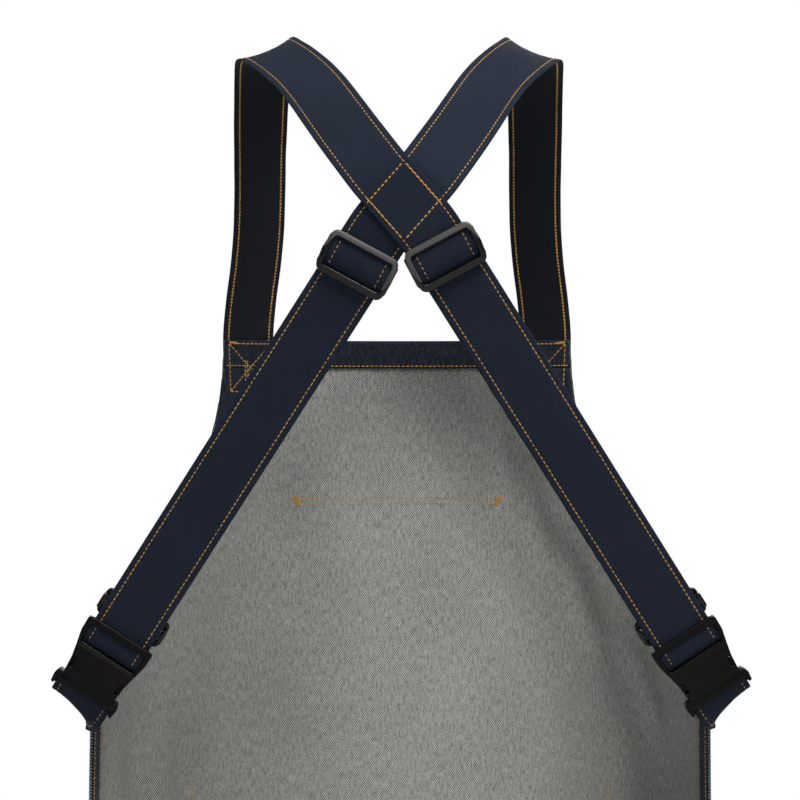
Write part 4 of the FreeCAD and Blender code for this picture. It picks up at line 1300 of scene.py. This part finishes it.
def overlock(sewing, path, way):
    """Zigzag of overlock thread over a raw edge on the inside."""
    pitch, reach = 2.4 * MM, 3.2 * MM
    walked = distances(path)
    s = np.arange(0, walked[-1], pitch / 2)
    arc, z = np.interp(s, walked, path[:, 0]), np.interp(s, walked, path[:, 1])
    off = np.where(np.arange(len(s)) % 2 == 0, 0.4 * MM, -reach) * way
    point, normal = cloth(arc + off, z, HEM_IN - 0.12 * MM)
    for a, b, n in zip(point[:-1], point[1:], normal[:-1]):
        sewing.stitch(a, b, -n, 0.22 * MM, sides=4)


def rope(sewing, path):
    """Thread wrapped round a cloth edge, each turn leaning along it."""
    pitch, wrap = 1.9 * MM, 2.1 * MM
    walked = distances(path)
    s = np.arange(0, walked[-1] - pitch, pitch)
    arc, z = np.interp(s, walked, path[:, 0]), np.interp(s, walked, path[:, 1])
    sign = np.sign(arc[0])
    out, normal = cloth(arc + sign * 0.2 * MM, z, 0.25 * MM)
    into, _ = cloth(arc - sign * wrap, z - pitch * 0.7, HEM_IN - 0.2 * MM)
    face, _ = cloth(arc - sign * wrap, z - pitch * 0.7, 0.3 * MM)
    edge, _ = cloth(arc + sign * 0.5 * MM, z - pitch * 0.3, (HEM_IN - 0.2 * MM) / 2)
    for a, b, c, d, n in zip(out, edge, into, face, normal):
        for start, end, up in ((b, c, -n), (a, d, n), (a, b, unit(b - c))):
            sewing.stitch(start, end, up, 0.33 * MM, sides=5)


CHEST_ROWS = (-0.2912, -0.2952)
CHEST_HALF = 0.0715


def chest(sewing):
    """Double row that holds the pocket's top edge, with a bar tack at each end."""
    for z in CHEST_ROWS:
        row_on_cloth(sewing, [(-CHEST_HALF, z), (CHEST_HALF, z)], IN_FACE - 0.05 * MM,
                     inside=True, radius=0.36 * MM)
    upper, lower = CHEST_ROWS
    for sign in (-1, 1):
        tack = [(sign * (CHEST_HALF + 1.6 * MM), upper + 1.6 * MM),
                (sign * (CHEST_HALF - 2.4 * MM), lower - 0.8 * MM)]
        for nudge in (-1.1, -0.4, 0.4, 1.1):
            path = [(a + nudge * MM, z - nudge * sign * MM * 0.7) for a, z in tack]
            row_on_cloth(sewing, path, IN_FACE - 0.12 * MM, inside=True,
                         pitch=1.5 * MM, fill=1.2, radius=0.46 * MM)


def anchors(outside, inside):
    """Crossed box of stitches that holds each strap's end on the bib."""
    top, low = BIB_TOP_Z - 2.5 * MM, BIB_TOP_Z - 35 * MM
    middle = float(edge_arc(BIB_TOP_Z)[0]) - STRAP_WIDTH / 2 - 1 * MM
    for sign in (-1, 1):
        near, far = sign * (middle - 15.5 * MM), sign * (middle + 17.0 * MM)
        corners = [(near, top), (far, top), (far, low), (near, low)]
        for a, b in ((0, 1), (1, 2), (2, 3), (3, 0), (0, 2), (1, 3)):
            path = [corners[a], corners[b]]
            row_on_cloth(inside, path, HEM_IN - 0.1 * MM, inside=True, radius=0.4 * MM)
            row_on_cloth(outside, path, 0.3 * MM + STRAP_THICK + 0.1 * MM, radius=0.4 * MM)
        for step in (12.4 * MM, 14.0 * MM):
            folded = [(far - sign * step, top - 11 * MM), (far - sign * step, low)]
            row_on_cloth(inside, folded, HEM_IN - 0.1 * MM, inside=True, radius=0.36 * MM)
        tack = [(far, top + 0.8 * MM), (far - sign * 7 * MM, top + 0.2 * MM)]
        row_on_cloth(inside, tack, HEM_IN - 0.2 * MM, inside=True,
                     pitch=1.4 * MM, fill=1.3, radius=0.75 * MM)


def crossing_stitches():
    """Sewn diamond through both straps where they cross."""
    sewing = Sewing()
    out_y = CROSS.y - STRAP_SHIFT - STRAP_THICK * 0.5
    entry = {s: np.array([SIDES[s] * CROSS_ENTRY.x, out_y, CROSS_ENTRY.z]) for s in SIDES}
    leave = {s: np.array([-SIDES[s] * RUN_START.x, out_y, RUN_START.z]) for s in SIDES}
    down = {s: unit(leave[s] - entry[s]) for s in SIDES}
    across = {s: np.array([-down[s][2], 0, down[s][0]]) for s in SIDES}
    centre = np.array([0, out_y, CROSS.z])
    half = 15.4 * MM
    up = np.array([0, -1.0, 0])
    for walk, edge in (("left", "right"), ("right", "left")):
        for sign in (-1, 1):
            slide = down[edge] * half / abs(down[edge] @ across[walk]) * 1.02
            line = centre + across[edge] * half * sign + slide * np.linspace(-1, 1, 30)[:, None]
            sewing.row(line + up * 0.02 * MM, np.tile(up, (30, 1)), radius=0.46 * MM)
    sewing.piece("crossing_stitches", GOLD)


# ---- assembly ----
panel, cut_area = build_panel()
hems = build_hems()
pocket = build_pocket()
sewn = build_cloth_stitching()
for strap_side in SIDES:
    build_strap(strap_side)
    build_return(strap_side)
    build_sliders(strap_side)
    build_socket(strap_side)
    build_plug(strap_side)
    build_tab(strap_side)
crossing_stitches()


# ---- stage ----
def build_stage():
    """Pale floor, a white backdrop that lights the room softly, and six area lights."""
    reach = 2.2
    corners = [(-reach, -reach, 0), (reach, -reach, 0), (reach, reach, 0), (-reach, reach, 0)]
    floor = mesh_object("floor", corners, [(0, 1, 2, 3)],
                        [hardware("floor_paper", (0.80, 0.80, 0.79), (0.82, 0.82, 0.81), 0.7)])
    floor.location.z = BOTTOM_Z - 0.06
    world = bpy.data.worlds.new("studio")
    world.use_nodes = True
    tree = world.node_tree
    backdrop = tree.nodes["Background"]
    backdrop.inputs["Color"].default_value = (1, 1, 1, 1)
    room = tree.nodes.new("ShaderNodeBackground")
    room.inputs["Color"].default_value = (0.95, 0.97, 1.0, 1)
    room.inputs["Strength"].default_value = 0.14
    rays = tree.nodes.new("ShaderNodeLightPath")
    choice = tree.nodes.new("ShaderNodeMixShader")
    tree.links.new(rays.outputs["Is Camera Ray"], choice.inputs["Fac"])
    tree.links.new(room.outputs[0], choice.inputs[1])
    tree.links.new(backdrop.outputs[0], choice.inputs[2])
    tree.links.new(choice.outputs[0], tree.nodes["World Output"].inputs["Surface"])
    bpy.context.scene.world = world
    for name, place, aim, size, power in (
        ("key", (0.45, -1.15, 1.9), (0, 0, -0.4), 1.2, 78.0),
        ("strip", (0.1, -2.4, 0.55), (0, 0, -0.2), 0.7, 5.0),
        ("front", (0.1, -2.6, -0.3), (0, 0.1, -0.5), 1.0, 3.5),
        ("rim_left", (-1.9, -0.3, -0.1), (0, 0, -0.3), 0.7, 2.0),
        ("rim_right", (1.9, -0.3, -0.1), (0, 0, -0.3), 0.7, 2.0),
        ("outside", (0.6, 2.4, 0.7), (0, 0, -0.55), 1.6, 26.0),
    ):
        light = bpy.data.lights.new(name, "AREA")
        light.size = size
        light.energy = power
        lamp = bpy.data.objects.new(name, light)
        lamp.location = place
        lamp.rotation_euler = (Vector(aim) - Vector(place)).to_track_quat("-Z", "Y").to_euler()
        bpy.context.scene.collection.objects.link(lamp)


def build_camera():
    """Camera behind the apron, at the photograph's distance and angle."""
    data = bpy.data.cameras.new("camera")
    data.sensor_width = 36.0
    data.lens = 113.4
    camera = bpy.data.objects.new("camera", data)
    camera.location = (-0.0288, -1.6206, -0.2149)
    camera.rotation_euler = (math.radians(90 - 0.29), 0, -math.radians(1.03))
    bpy.context.scene.collection.objects.link(camera)
    bpy.context.scene.camera = camera


build_stage()
build_camera()
bpy.context.scene.view_settings.view_transform = "Standard"
